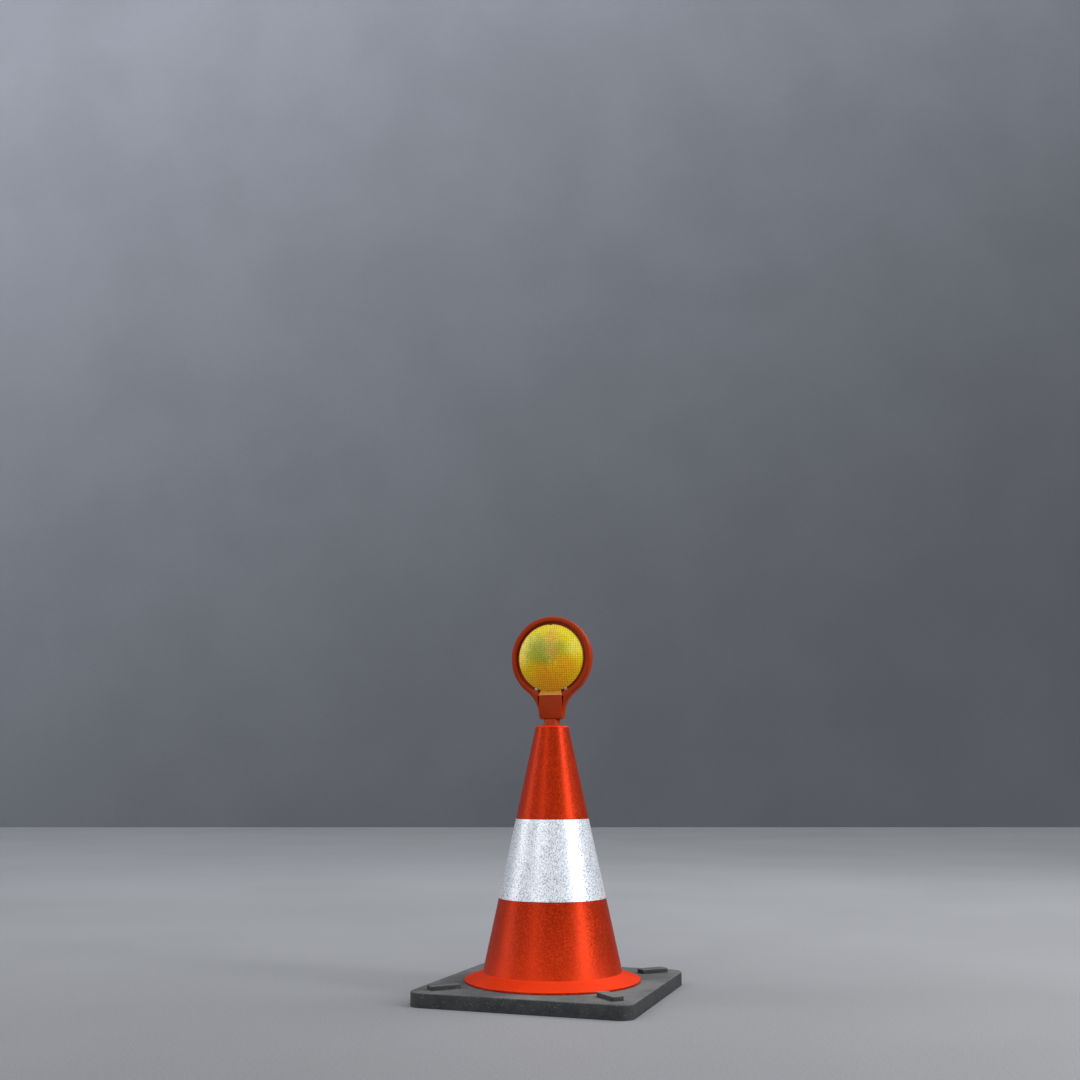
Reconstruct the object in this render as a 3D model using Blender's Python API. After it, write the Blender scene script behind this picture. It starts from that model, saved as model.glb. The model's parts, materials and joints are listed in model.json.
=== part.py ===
"""Cone-mounted warning light: a two-way battery lamp that stands in the top of a traffic cone.

Metres, +Z up, front towards -Y. The origin is the centre of the rubber base's underside.
A side of the lamp is modelled in its own frame: x across, y up from the lens centre, z outwards from the
plane where the two housing shells meet. The rear side is the same frame turned half a turn.
"""

import math

import bmesh
import bpy
from mathutils import Vector

GAP = 0.0003  # left between faces that touch
REACH = 0.001  # how far a cutter runs past the face that it opens
MERGE = 0.00001  # points closer than this are one
SHARP = math.radians(35)  # edges sharper than this are shaded sharp

# Stand: cone, base and retroreflective sleeve
CONE_HEIGHT = 0.5
CONE_TOP_RADIUS = 0.0318
CONE_FOOT_RADIUS = 0.1317
CONE_WALL = 0.004
CONE_SHOULDER = 0.005
CONE_ROOF = 0.005
FOOT_RISE = 0.016
FLANGE_WIDTH = 0.0343
FLANGE_RIM = 0.0043
RELIEF_RIM = 0.006
RELIEF_FOOT = 0.005
SLEEVE_LOW = 0.176
SLEEVE_HIGH = 0.323
SLEEVE_DEPTH = 0.0015
BASE_MARGIN = 0.041
BASE_THICKNESS = 0.026
BASE_CORNER = 0.026
BASE_EDGE = 0.002
LUG_LENGTH = 0.058
LUG_WIDTH = 0.024
LUG_HEIGHT = 0.008
LUG_CORNER = 0.007
LUG_CLEAR = 0.025
SKIRT_FOOT = 0.003
SKIRT_LIP = 0.002
LIP_HEIGHT = 0.0027
LOCK_RING_WIDTH = 0.0133
LOCK_RING_HEIGHT = 0.0077

# Swivel collar that carries the lamp's stem
STEM_RADIUS = 0.0156
STEM_WALL = 0.0025
STEM_SHOWN = 0.0112
NECK_RADIUS = 0.007
NECK_FLANGE = 0.0092
STEM_FLANGE = 0.002
COLLAR_WALL = 0.0028
COLLAR_RIM = 0.0023
COLLAR_FLANGE = 0.0015
COLLAR_LENGTH = 0.0718
COLLAR_LIP = 0.0035
COLLAR_FLOOR = 0.003
GROOVE_DEPTH = 0.0014
WASHER_WIDTH = 0.007
WASHER_THICKNESS = 0.0015
CLIP_WIDTH = 0.0034
CLIP_THICKNESS = 0.0012
CLIP_OPENING = math.radians(40)

# Lamp head
RING_RADIUS = 0.083
RING_WIDTH = 0.011
RING_DEPTH = 0.01
RING_SIDE = 0.0055
CROWN_INSET = 0.0022
CROWN_DEPTH = 0.0089
CORE_WALL = 0.0025
CORE_DEPTH = 0.0065
BOSS_ANGLE = math.radians(10)
CORE_END = math.radians(25)
FLARE = 0.0022
FLARE_DEPTH = 0.002
WEB_DEPTH = 0.003
WEB_WIDTH = 0.02
REBATE_WIDTH = 0.0035
REBATE_DEPTH = 0.0011
LENS_GAP = 0.0054
LENS_RIM = 0.0035
LENS_RISE = 0.017
LENS_WALL = 0.0025
GASKET_WIDTH = 0.0055
GASKET_INSET = 0.0014
GASKET_THICKNESS = 0.0009
EAR_ANGLE = math.radians(26.3)
EAR_RADIUS = 0.0035
EAR_THICKNESS = 0.0022
EAR_OFFSET = 0.0016
NOTCH_HALF = 0.003
NOTCH_DEPTH = 0.0016
TONGUE_FOOT_HALF = 0.0245
TONGUE_TOP_HALF = 0.02
TONGUE_HEIGHT = 0.0105

# Battery case below the ring
CASE_HALF = 0.025
BLOCK_HALF = 0.0235
BLOCK_FRONT = 0.012
BLOCK_REAR = 0.014
BLOCK_EDGE = 0.001
BLOCK_DROP = 0.0085
FOOT_CHAMFER = 0.005
FOOT_INSET = 0.003
CASE_FLOOR = 0.003
CASE_ROOF = 0.004
CAVITY_HALF = 0.021
CAVITY_DEPTH = 0.0097
CRADLE_WALL = 0.0012
CELL_RADIUS = 0.0078
CELL_LENGTH = 0.026
CELL_NUB = 0.001
CELL_NUB_RADIUS = 0.0026
CELL_PITCH = 0.0176
CONTACT = 0.0004
SPRING_HEIGHT = 0.0027
SPRING_RADIUS = 0.0032
SPRING_WIRE = 0.00035
SPRING_TURNS = 2.5
LEAD_SPACE = 0.0015
LEAD_RADIUS = 0.0005
LEAD_SPREAD = 0.004
CHANNEL_HALF = 0.007
CHANNEL_DEPTH = 0.0022

# Screws
SCREW_RADIUS = 0.0014
SCREW_HOLE = 0.0017
SCREW_HEAD = 0.0026
SCREW_HEAD_HEIGHT = 0.002
HEAD_CLEAR = 0.0003
HEAD_SIDE = 0.7
HEAD_TOP = 0.85
SCREW_SLOT = 0.0009
SCREW_TURN = math.radians(35)
SHELL_SCREW_SEAT = 0.0075
SHELL_SCREW_REACH = 0.006
SHELL_SCREW_ANGLE = math.radians(55)
LOW_SCREW_INSET = 0.0055

# Electronics
BOARD_THICKNESS = 0.0016
LED_RADIUS = 0.0025
LED_FLANGE = 0.0029
LED_HEIGHT = 0.0064
REFLECTOR_MOUTH = 0.014
REFLECTOR_DEPTH = 0.0099
REFLECTOR_WALL = 0.001
PHOTOCELL_RADIUS = 0.004
PHOTOCELL_HEIGHT = 0.0034
PHOTOCELL_RISE = 0.036
CHIP_SIDE = 0.009
CHIP_THICKNESS = 0.0022
CHIP_DROP = 0.03
CAPACITOR_RADIUS = 0.004
CAPACITOR_HEIGHT = 0.008
CAPACITOR_SPREAD = 0.026

# Battery door, its hinge and its quarter-turn lock
DOOR_HALF = 0.0195
DOOR_THICKNESS = 0.002
DOOR_SILL = 0.0041
DOOR_HEIGHT = 0.0335
LEDGE_WIDTH = 0.0025
SEAL_THICKNESS = 0.0007
SEAL_SPACE = 0.0013
KNUCKLE_RADIUS = 0.0018
LEAF_RISE = 0.0045
DOOR_KNUCKLE_HALF = 0.0077
SHELL_KNUCKLE = 0.005
PIN_RADIUS = 0.0008
LOCK_HEAD = 0.0045
LOCK_HEAD_HEIGHT = 0.002
LOCK_SIDE = 0.8
LOCK_TOP = 0.9
LOCK_SLOT_HALF = 0.0006
LOCK_SHANK = 0.0016
LOCK_FALL = 0.006
CAM_LENGTH = 0.0075
CAM_HALF = 0.002
CAM_THICKNESS = 0.0011

# Power button and its switch
POCKET_HALF = 0.0065
POCKET_HEIGHT = 0.0056
POCKET_DEPTH = 0.0095
BUTTON_RADIUS = 0.0025
BUTTON_FLANGE = 0.0031
BUTTON_FLANGE_THICKNESS = 0.001
BUTTON_STANDS = 0.0018
BUTTON_TRAVEL = 0.0018
BEZEL_WIDTH = 0.0024
BEZEL_THICKNESS = 0.0008
SWITCH_HALF = 0.005
SWITCH_BACK = 0.0015

# Facets
ROUND = 40
LENS_ROUND = 32
STEM_ROUND = 24
SMALL_ROUND = 16
TINY_ROUND = 8
HEAD_ROUND = 12
KNOB_ROUND = 20
FILLET_STEPS = 6
RING_STEPS = 15
DOME_STEPS = 5
CORE_STEPS = 10
SHOULDER_STEPS = 4
BOWL_STEPS = 3
LED_STEPS = 4
LEAD_STEPS = 4
SPRING_STEPS = 10

# Places that follow from the sizes above
FOOT_Z = BASE_THICKNESS + FOOT_RISE
FLANGE_RADIUS = CONE_FOOT_RADIUS + FLANGE_WIDTH
BASE_SIDE = 2 * (FLANGE_RADIUS + BASE_MARGIN)
LUG_PLACE = (FLANGE_RADIUS + LUG_CLEAR + LUG_LENGTH / 2) * math.sqrt(0.5)
SKIRT_RADIUS = CONE_FOOT_RADIUS - GAP
LOCK_RING_LOW = SKIRT_FOOT + LIP_HEIGHT + GAP
LOCK_RING_HIGH = LOCK_RING_LOW + LOCK_RING_HEIGHT
LOCK_RING_RADIUS = SKIRT_RADIUS + LOCK_RING_WIDTH + GAP

COLLAR_BORE = STEM_RADIUS + GAP
COLLAR_RADIUS = COLLAR_BORE + COLLAR_WALL
BUSH_HOLE = COLLAR_RADIUS + GAP
COLLAR_TOP = CONE_HEIGHT + GAP + COLLAR_FLANGE
COLLAR_LOW = COLLAR_TOP - COLLAR_LENGTH
WASHER_TOP = CONE_HEIGHT - CONE_ROOF - GAP
CLIP_TOP = WASHER_TOP - WASHER_THICKNESS - GAP
GROOVE_RADIUS = COLLAR_RADIUS - GROOVE_DEPTH

CELL_STACK = CELL_LENGTH + CELL_NUB + GAP + SPRING_HEIGHT
CRADLE_LOW = CASE_FLOOR + GAP + STEM_FLANGE + GAP
CONTACT_LOW = CRADLE_LOW + CRADLE_WALL + GAP
STACK_LOW = CONTACT_LOW + CONTACT + GAP
STACK_HIGH = STACK_LOW + CELL_STACK
CONTACT_HIGH = STACK_HIGH + GAP
CRADLE_HIGH = CONTACT_HIGH + CONTACT + GAP + CRADLE_WALL
CAVITY_HIGH = CRADLE_HIGH + LEAD_SPACE
CASE_HEIGHT = CAVITY_HIGH + CASE_ROOF

BLOCK_TOP = BLOCK_DROP - RING_RADIUS
CASE_LOW = BLOCK_TOP - CASE_HEIGHT
FILLET_DROP = -CASE_LOW - FOOT_CHAMFER
FILLET_RADIUS = (FILLET_DROP**2 + CASE_HALF**2 - RING_RADIUS**2) / (2 * (RING_RADIUS - CASE_HALF))
CASE_FLOOR_Z = COLLAR_TOP + STEM_SHOWN
LAMP_Z = CASE_FLOOR_Z - CASE_LOW

WELL_RADIUS = RING_RADIUS - RING_WIDTH
OPENING_RADIUS = WELL_RADIUS - WEB_WIDTH
BOARD_RADIUS = OPENING_RADIUS + REBATE_WIDTH - GAP
LENS_RADIUS = WELL_RADIUS - LENS_GAP
LENS_SEAT = WEB_DEPTH + GAP + GASKET_THICKNESS + GAP
LENS_EDGE = LENS_SEAT + LENS_RIM
EAR_PLACE = LENS_RADIUS + EAR_OFFSET
HEAD_SEAT = LENS_SEAT + EAR_THICKNESS + HEAD_CLEAR
CORE_MIDDLE = RING_RADIUS - RING_WIDTH / 2
BOARD_FACE = BOARD_THICKNESS / 2 + GAP

DOOR_LOW = CASE_LOW + DOOR_SILL
DOOR_HIGH = DOOR_LOW + DOOR_HEIGHT
DOOR_INNER = BLOCK_REAR - DOOR_THICKNESS
LEDGE_DEPTH = DOOR_INNER - SEAL_SPACE
LEDGE_HALF = DOOR_HALF - LEDGE_WIDTH
HINGE_Y = CASE_LOW + KNUCKLE_RADIUS
HINGE_DEPTH = BLOCK_REAR + GAP + KNUCKLE_RADIUS
LOCK_Y = DOOR_HIGH - LOCK_FALL
BUTTON_Y = CASE_LOW + CAVITY_HIGH + POCKET_HEIGHT - BUTTON_FLANGE - GAP
BUTTON_SEAT = POCKET_DEPTH - GAP - BUTTON_FLANGE_THICKNESS


def cone_radius(z):
    """Outer radius of the cone's wall at height z."""
    share = (CONE_HEIGHT - z) / (CONE_HEIGHT - FOOT_Z)
    return CONE_TOP_RADIUS + share * (CONE_FOOT_RADIUS - CONE_TOP_RADIUS)


def make_material(name, colour, roughness, metallic=0.0):
    """A Principled material with one colour."""
    made = bpy.data.materials.new(name)
    made.use_nodes = True
    shader = made.node_tree.nodes["Principled BSDF"]
    shader.inputs["Base Color"].default_value = (*colour, 1.0)
    shader.inputs["Roughness"].default_value = roughness
    shader.inputs["Metallic"].default_value = metallic
    made.diffuse_color = (*colour, 1.0)
    return made


def empty(name, parent, location, rotation=(0, 0, 0)):
    """An empty that holds the pieces of one side or of one joint."""
    made = bpy.data.objects.new(name, None)
    bpy.context.collection.objects.link(made)
    made.parent = parent
    made.location = location
    made.rotation_euler = rotation
    return made


def add_piece(name, bm, look, parent, location=(0, 0, 0), rotation=(0, 0, 0)):
    """Turns the bmesh into a named object with its material, faces outwards, round parts shaded smooth."""
    bmesh.ops.remove_doubles(bm, verts=bm.verts, dist=MERGE)
    bmesh.ops.recalc_face_normals(bm, faces=bm.faces)
    mesh = bpy.data.meshes.new(name)
    bm.to_mesh(mesh)
    bm.free()
    mesh.shade_smooth()
    mesh.set_sharp_from_angle(angle=SHARP)
    made = bpy.data.objects.new(name, mesh)
    bpy.context.collection.objects.link(made)
    if look:
        mesh.materials.append(look)
    made.parent = parent
    made.location = location
    made.rotation_euler = rotation
    return made


def combine(piece, operation, bm, parent, location=(0, 0, 0), rotation=(0, 0, 0)):
    """Adds or cuts a helper shape on a piece with a Boolean. The helper stays hidden beside it."""
    name = f"{piece.name}_{operation.lower()}_{len(piece.modifiers)}"
    helper = add_piece(name, bm, None, parent, location, rotation)
    helper.hide_render = True
    helper.display_type = "WIRE"
    change = piece.modifiers.new(name, "BOOLEAN")
    change.operation = operation
    change.solver = "EXACT"
    change.object = helper


def cut(piece, bm, parent, location=(0, 0, 0), rotation=(0, 0, 0)):
    """Cuts a shape out of a piece."""
    combine(piece, "DIFFERENCE", bm, parent, location, rotation)


def join(piece, bm, parent, location=(0, 0, 0), rotation=(0, 0, 0)):
    """Joins a shape to a piece."""
    combine(piece, "UNION", bm, parent, location, rotation)


def spun(profile, steps, sweep=math.tau, start=0.0):
    """Turns a closed profile of (radius, height) points about Z, a whole turn or an arc with closed ends."""
    bm = bmesh.new()
    turned = [(r * math.cos(start), r * math.sin(start), z) for r, z in profile]
    points = [bm.verts.new(point) for point in turned]
    on_axis = profile[0][0] == 0 and profile[-1][0] == 0
    pairs = list(zip(points, points[1:] + points[:1]))
    edges = [bm.edges.new(pair) for pair in (pairs[:-1] if on_axis else pairs)]
    bmesh.ops.spin(bm, geom=points + edges, cent=(0, 0, 0), axis=(0, 0, 1), angle=sweep, steps=steps)
    bmesh.ops.remove_doubles(bm, verts=bm.verts, dist=MERGE)
    if sweep < math.tau:
        bmesh.ops.holes_fill(bm, edges=[edge for edge in bm.edges if edge.is_boundary], sides=0)
    return bm


def skinned(loops, ring=False):
    """Joins loops of equal length face by face. The ends are closed, or the last loop meets the first."""
    bm = bmesh.new()
    rows = [[bm.verts.new(point) for point in loop] for loop in loops]
    for low, high in zip(rows, rows[1:] + (rows[:1] if ring else [])):
        for a, b, c, d in zip(low, low[1:] + low[:1], high[1:] + high[:1], high):
            bm.faces.new((a, b, c, d))
    if not ring:
        bm.faces.new(rows[0])
        bm.faces.new(rows[-1])
    return bm


def at_depth(outline, depth):
    """The flat outline lifted to a depth."""
    return [(x, y, depth) for x, y in outline]


def box(low, high):
    """A plain block between two corners."""
    outline = [(low[0], low[1]), (high[0], low[1]), (high[0], high[1]), (low[0], high[1])]
    return skinned([at_depth(outline, low[2]), at_depth(outline, high[2])])


def disc(radius, low, high, steps=SMALL_ROUND):
    """A plain cylinder about Z."""
    return spun([(0, low), (radius, low), (radius, high), (0, high)], steps)


def tube(inner, outer, low, high, steps=ROUND, sweep=math.tau, start=0.0):
    """A ring of square section about Z."""
    return spun([(inner, low), (outer, low), (outer, high), (inner, high)], steps, sweep, start)


def rectangle(half, low, high):
    """A rectangle across the lamp, centred in x."""
    return [(-half, low), (half, low), (half, high), (-half, high)]


def rounded_rectangle(width, depth, corner, steps=5):
    """A rectangle about the origin with round corners."""
    outline = []
    for quarter, (sx, sy) in enumerate(((1, 1), (-1, 1), (-1, -1), (1, -1))):
        centre = Vector((sx * (width / 2 - corner), sy * (depth / 2 - corner)))
        for step in range(steps + 1):
            angle = math.pi / 2 * (quarter + step / steps)
            outline.append((centre.x + corner * math.cos(angle), centre.y + corner * math.sin(angle)))
    return outline


def rounded_slab(width, depth, corner, levels):
    """A slab with round corners, whose outline is inset at each (inset, height) level."""
    loops = []
    for inset, z in levels:
        outline = rounded_rectangle(width - 2 * inset, depth - 2 * inset, corner - inset)
        loops.append(at_depth(outline, z))
    return skinned(loops)


def wire(name, points, radius, look, parent):
    """A round wire along a line of points, with closed ends."""
    curve = bpy.data.curves.new(name, "CURVE")
    curve.dimensions = "3D"
    curve.bevel_depth = radius
    curve.bevel_resolution = 0
    curve.use_fill_caps = True
    spline = curve.splines.new("POLY")
    spline.points.add(len(points) - 1)
    for point, place in zip(spline.points, points):
        point.co = (*place, 1.0)
    curve.materials.append(look)
    made = bpy.data.objects.new(name, curve)
    bpy.context.collection.objects.link(made)
    made.parent = parent
    return made


def make_stand(looks):
    """Rubber base, cone, the ring that locks them together, and the reflective sleeve."""
    ledge = LOCK_RING_HIGH + GAP
    levels = [(BASE_EDGE, 0), (0, BASE_EDGE), (0, BASE_THICKNESS - BASE_EDGE), (BASE_EDGE, BASE_THICKNESS)]
    slab = rounded_slab(BASE_SIDE, BASE_SIDE, BASE_CORNER, levels)
    base = add_piece("base_plate", slab, looks["base_rubber"], None)
    for corner in range(4):
        lug_levels = [(0, -REACH), (0, LUG_HEIGHT - BASE_EDGE), (BASE_EDGE, LUG_HEIGHT)]
        lug = rounded_slab(LUG_LENGTH, LUG_WIDTH, LUG_CORNER, lug_levels)
        angle = math.radians(45 + 90 * corner)
        place = Vector((LUG_PLACE, LUG_PLACE)).length
        spot = (place * math.cos(angle), place * math.sin(angle), BASE_THICKNESS)
        join(base, lug, None, spot, (0, 0, angle))
    hole = CONE_FOOT_RADIUS + GAP
    counterbore = LOCK_RING_RADIUS + REACH
    above = BASE_THICKNESS + REACH
    opening = [(0, -REACH), (counterbore, -REACH), (counterbore, ledge)]
    opening += [(hole, ledge), (hole, above), (0, above)]
    cut(base, spun(opening, ROUND), None)

    rim = BASE_THICKNESS + GAP
    slope = (FOOT_RISE - GAP - FLANGE_RIM) / FLANGE_WIDTH
    relief_out = FLANGE_RADIUS - RELIEF_RIM
    relief_in = CONE_FOOT_RADIUS + RELIEF_FOOT
    roof = CONE_HEIGHT - CONE_ROOF
    shoulder_z = CONE_HEIGHT - CONE_SHOULDER
    shoulder_r = cone_radius(shoulder_z) - CONE_SHOULDER
    profile = [(BUSH_HOLE, CONE_HEIGHT)]
    for step in range(SHOULDER_STEPS + 1):
        angle = math.pi / 2 * step / SHOULDER_STEPS
        r = shoulder_r + CONE_SHOULDER * math.sin(angle)
        profile.append((r, shoulder_z + CONE_SHOULDER * math.cos(angle)))
    for z, edges in ((SLEEVE_HIGH, (0, SLEEVE_DEPTH)), (SLEEVE_LOW, (SLEEVE_DEPTH, 0))):
        profile += [(cone_radius(z) - depth, z) for depth in edges]
    profile += [
        (CONE_FOOT_RADIUS, FOOT_Z),
        (FLANGE_RADIUS, rim + FLANGE_RIM),
        (FLANGE_RADIUS, rim),
        (relief_out, rim),
        (relief_out, FOOT_Z - slope * (relief_out - CONE_FOOT_RADIUS) - CONE_WALL),
        (relief_in, FOOT_Z - slope * RELIEF_FOOT - CONE_WALL),
        (relief_in, rim),
        (SKIRT_RADIUS, rim),
        (SKIRT_RADIUS, SKIRT_FOOT + LIP_HEIGHT),
        (SKIRT_RADIUS + SKIRT_LIP, SKIRT_FOOT + LIP_HEIGHT),
        (SKIRT_RADIUS, SKIRT_FOOT),
        (SKIRT_RADIUS - CONE_WALL, SKIRT_FOOT),
        (CONE_FOOT_RADIUS - CONE_WALL, FOOT_Z),
        (cone_radius(roof) - CONE_WALL, roof),
        (BUSH_HOLE, roof),
    ]
    add_piece("cone_body", spun(profile, ROUND), looks["cone_plastic"], None)

    ring = tube(SKIRT_RADIUS + GAP, LOCK_RING_RADIUS, LOCK_RING_LOW, LOCK_RING_HIGH)
    add_piece("lock_ring", ring, looks["lock_ring_plastic"], None)

    low, high = SLEEVE_LOW + GAP, SLEEVE_HIGH - GAP
    inner = SLEEVE_DEPTH - GAP
    sleeve = [(cone_radius(low) - inner, low), (cone_radius(low), low)]
    sleeve += [(cone_radius(high), high), (cone_radius(high) - inner, high)]
    add_piece("reflective_sleeve", spun(sleeve, ROUND), looks["sleeve_film"], None)


def make_swivel(looks):
    """Collar that turns in the cone's top and carries the stem, with its washer and circlip."""
    axis = empty("swivel_axis", None, (0, 0, CONE_HEIGHT))
    top, low = COLLAR_TOP - CONE_HEIGHT, COLLAR_LOW - CONE_HEIGHT
    groove_top = CLIP_TOP - CONE_HEIGHT + GAP / 2
    groove_low = groove_top - CLIP_THICKNESS - GAP
    collar = [
        (COLLAR_BORE, top),
        (COLLAR_RADIUS + COLLAR_RIM - COLLAR_FLANGE / 2, top),
        (COLLAR_RADIUS + COLLAR_RIM, top - COLLAR_FLANGE / 2),
        (COLLAR_RADIUS + COLLAR_RIM, GAP),
        (COLLAR_RADIUS, GAP),
        (COLLAR_RADIUS, groove_top),
        (GROOVE_RADIUS, groove_top),
        (GROOVE_RADIUS, groove_low),
        (COLLAR_RADIUS, groove_low),
        (COLLAR_RADIUS, low),
        (COLLAR_BORE - COLLAR_LIP, low),
        (COLLAR_BORE - COLLAR_LIP, low + COLLAR_FLOOR),
        (COLLAR_BORE, low + COLLAR_FLOOR),
    ]
    add_piece("swivel_collar", spun(collar, STEM_ROUND), looks["collar_plastic"], axis)
    washer_top = WASHER_TOP - CONE_HEIGHT
    washer_low = washer_top - WASHER_THICKNESS
    washer = tube(COLLAR_RADIUS + GAP, COLLAR_RADIUS + WASHER_WIDTH, washer_low, washer_top, STEM_ROUND)
    add_piece("collar_washer", washer, looks["washer_plastic"], axis)
    clip_top = CLIP_TOP - CONE_HEIGHT
    inner = GROOVE_RADIUS + GAP
    start = -math.pi / 2 + CLIP_OPENING / 2
    sweep = math.tau - CLIP_OPENING
    clip = tube(inner, inner + CLIP_WIDTH, clip_top - CLIP_THICKNESS, clip_top, STEM_ROUND, sweep, start)
    add_piece("collar_circlip", clip, looks["spring_steel"], axis)
    return axis


def housing_outline(inset):
    """Teardrop outline of the housing: ring, concave fillets down to the case, and a chamfered foot."""
    centre_x = CASE_HALF + FILLET_RADIUS
    radius = RING_RADIUS - inset
    fillet = FILLET_RADIUS + inset
    meet = math.atan2(-FILLET_DROP, centre_x)
    right = [(CASE_HALF - inset - FOOT_INSET, CASE_LOW + inset)]
    for step in range(FILLET_STEPS + 1):
        angle = math.pi + meet * step / FILLET_STEPS
        right.append((centre_x + fillet * math.cos(angle), -FILLET_DROP - fillet * math.sin(angle - math.pi)))
    arc = math.pi / 2 - meet
    for step in range(1, RING_STEPS):
        angle = meet + arc * step / RING_STEPS
        right.append((radius * math.cos(angle), radius * math.sin(angle)))
    return right + [(0, radius)] + [(-x, y) for x, y in reversed(right)]


def shell_blank(name, side, look, block_depth, block_top):
    """One housing half before its openings: the teardrop with a round crown, and the case block in front."""
    levels = ((0, GAP / 2), (0, RING_SIDE), (CROWN_INSET, CROWN_DEPTH), (RING_WIDTH / 2, RING_DEPTH))
    shell = add_piece(name, skinned([at_depth(housing_outline(inset), u) for inset, u in levels]), look, side)
    block = []
    for inset, u in ((0, RING_SIDE), (0, block_depth - BLOCK_EDGE), (BLOCK_EDGE, block_depth)):
        half = BLOCK_HALF - inset
        low = CASE_LOW + 2 * GAP + inset
        chamfer = CASE_LOW + FOOT_CHAMFER
        outline = [(half, chamfer), (half, block_top - inset), (-half, block_top - inset), (-half, chamfer)]
        block.append(at_depth([*outline, (FOOT_INSET - half, low), (half - FOOT_INSET, low)], u))
    join(shell, skinned(block), side)

    deep = BLOCK_REAR + REACH
    well = [
        (0, -REACH),
        (BOARD_RADIUS + GAP, -REACH),
        (BOARD_RADIUS + GAP, REBATE_DEPTH),
        (OPENING_RADIUS, REBATE_DEPTH),
        (OPENING_RADIUS, WEB_DEPTH),
        (WELL_RADIUS, WEB_DEPTH),
        (WELL_RADIUS, RING_DEPTH - FLARE_DEPTH),
        (WELL_RADIUS + FLARE, RING_DEPTH + GAP),
        (WELL_RADIUS + FLARE, deep),
        (0, deep),
    ]
    cut(shell, spun(well, ROUND), side)
    low, high = CASE_LOW + CASE_FLOOR, CASE_LOW + CAVITY_HIGH
    cut(shell, box((-CAVITY_HALF, low, -REACH), (CAVITY_HALF, high, CAVITY_DEPTH)), side)
    neck_hole = disc(NECK_RADIUS + GAP, -REACH, CASE_FLOOR + REACH, STEM_ROUND)
    cut(shell, neck_hole, side, (0, CASE_LOW, 0), (-math.pi / 2, 0, 0))
    ends = (-CORE_END, SHELL_SCREW_ANGLE, math.pi - SHELL_SCREW_ANGLE, math.pi + CORE_END)
    half_core = RING_WIDTH / 2 - CORE_WALL
    for begin, end in zip(ends, ends[1:]):
        start = begin + BOSS_ANGLE / 2
        sweep = end - begin - BOSS_ANGLE
        inner, outer = CORE_MIDDLE - half_core, CORE_MIDDLE + half_core
        cut(shell, tube(inner, outer, -REACH, CORE_DEPTH, CORE_STEPS, sweep, start), side)
    for x, y in lens_screw_spots():
        cut(shell, disc(SCREW_HOLE, -REACH, WEB_DEPTH + REACH, TINY_ROUND), side, (x, y, 0))
    return shell


def lens_screw_spots():
    """Places of a lens's two screws."""
    x, y = EAR_PLACE * math.sin(EAR_ANGLE), -EAR_PLACE * math.cos(EAR_ANGLE)
    return [(-x, y), (x, y)]


def shell_screw_spots():
    """Places of the four screws that hold the shells together: two in the ring, two in the wings."""
    x, y = CORE_MIDDLE * math.cos(SHELL_SCREW_ANGLE), CORE_MIDDLE * math.sin(SHELL_SCREW_ANGLE)
    low_x = CASE_HALF + LOW_SCREW_INSET
    low_y = -math.sqrt((RING_RADIUS + SCREW_HEAD) ** 2 - low_x**2)
    return [(-x, y), (x, y), (-low_x, low_y), (low_x, low_y)]


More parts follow.
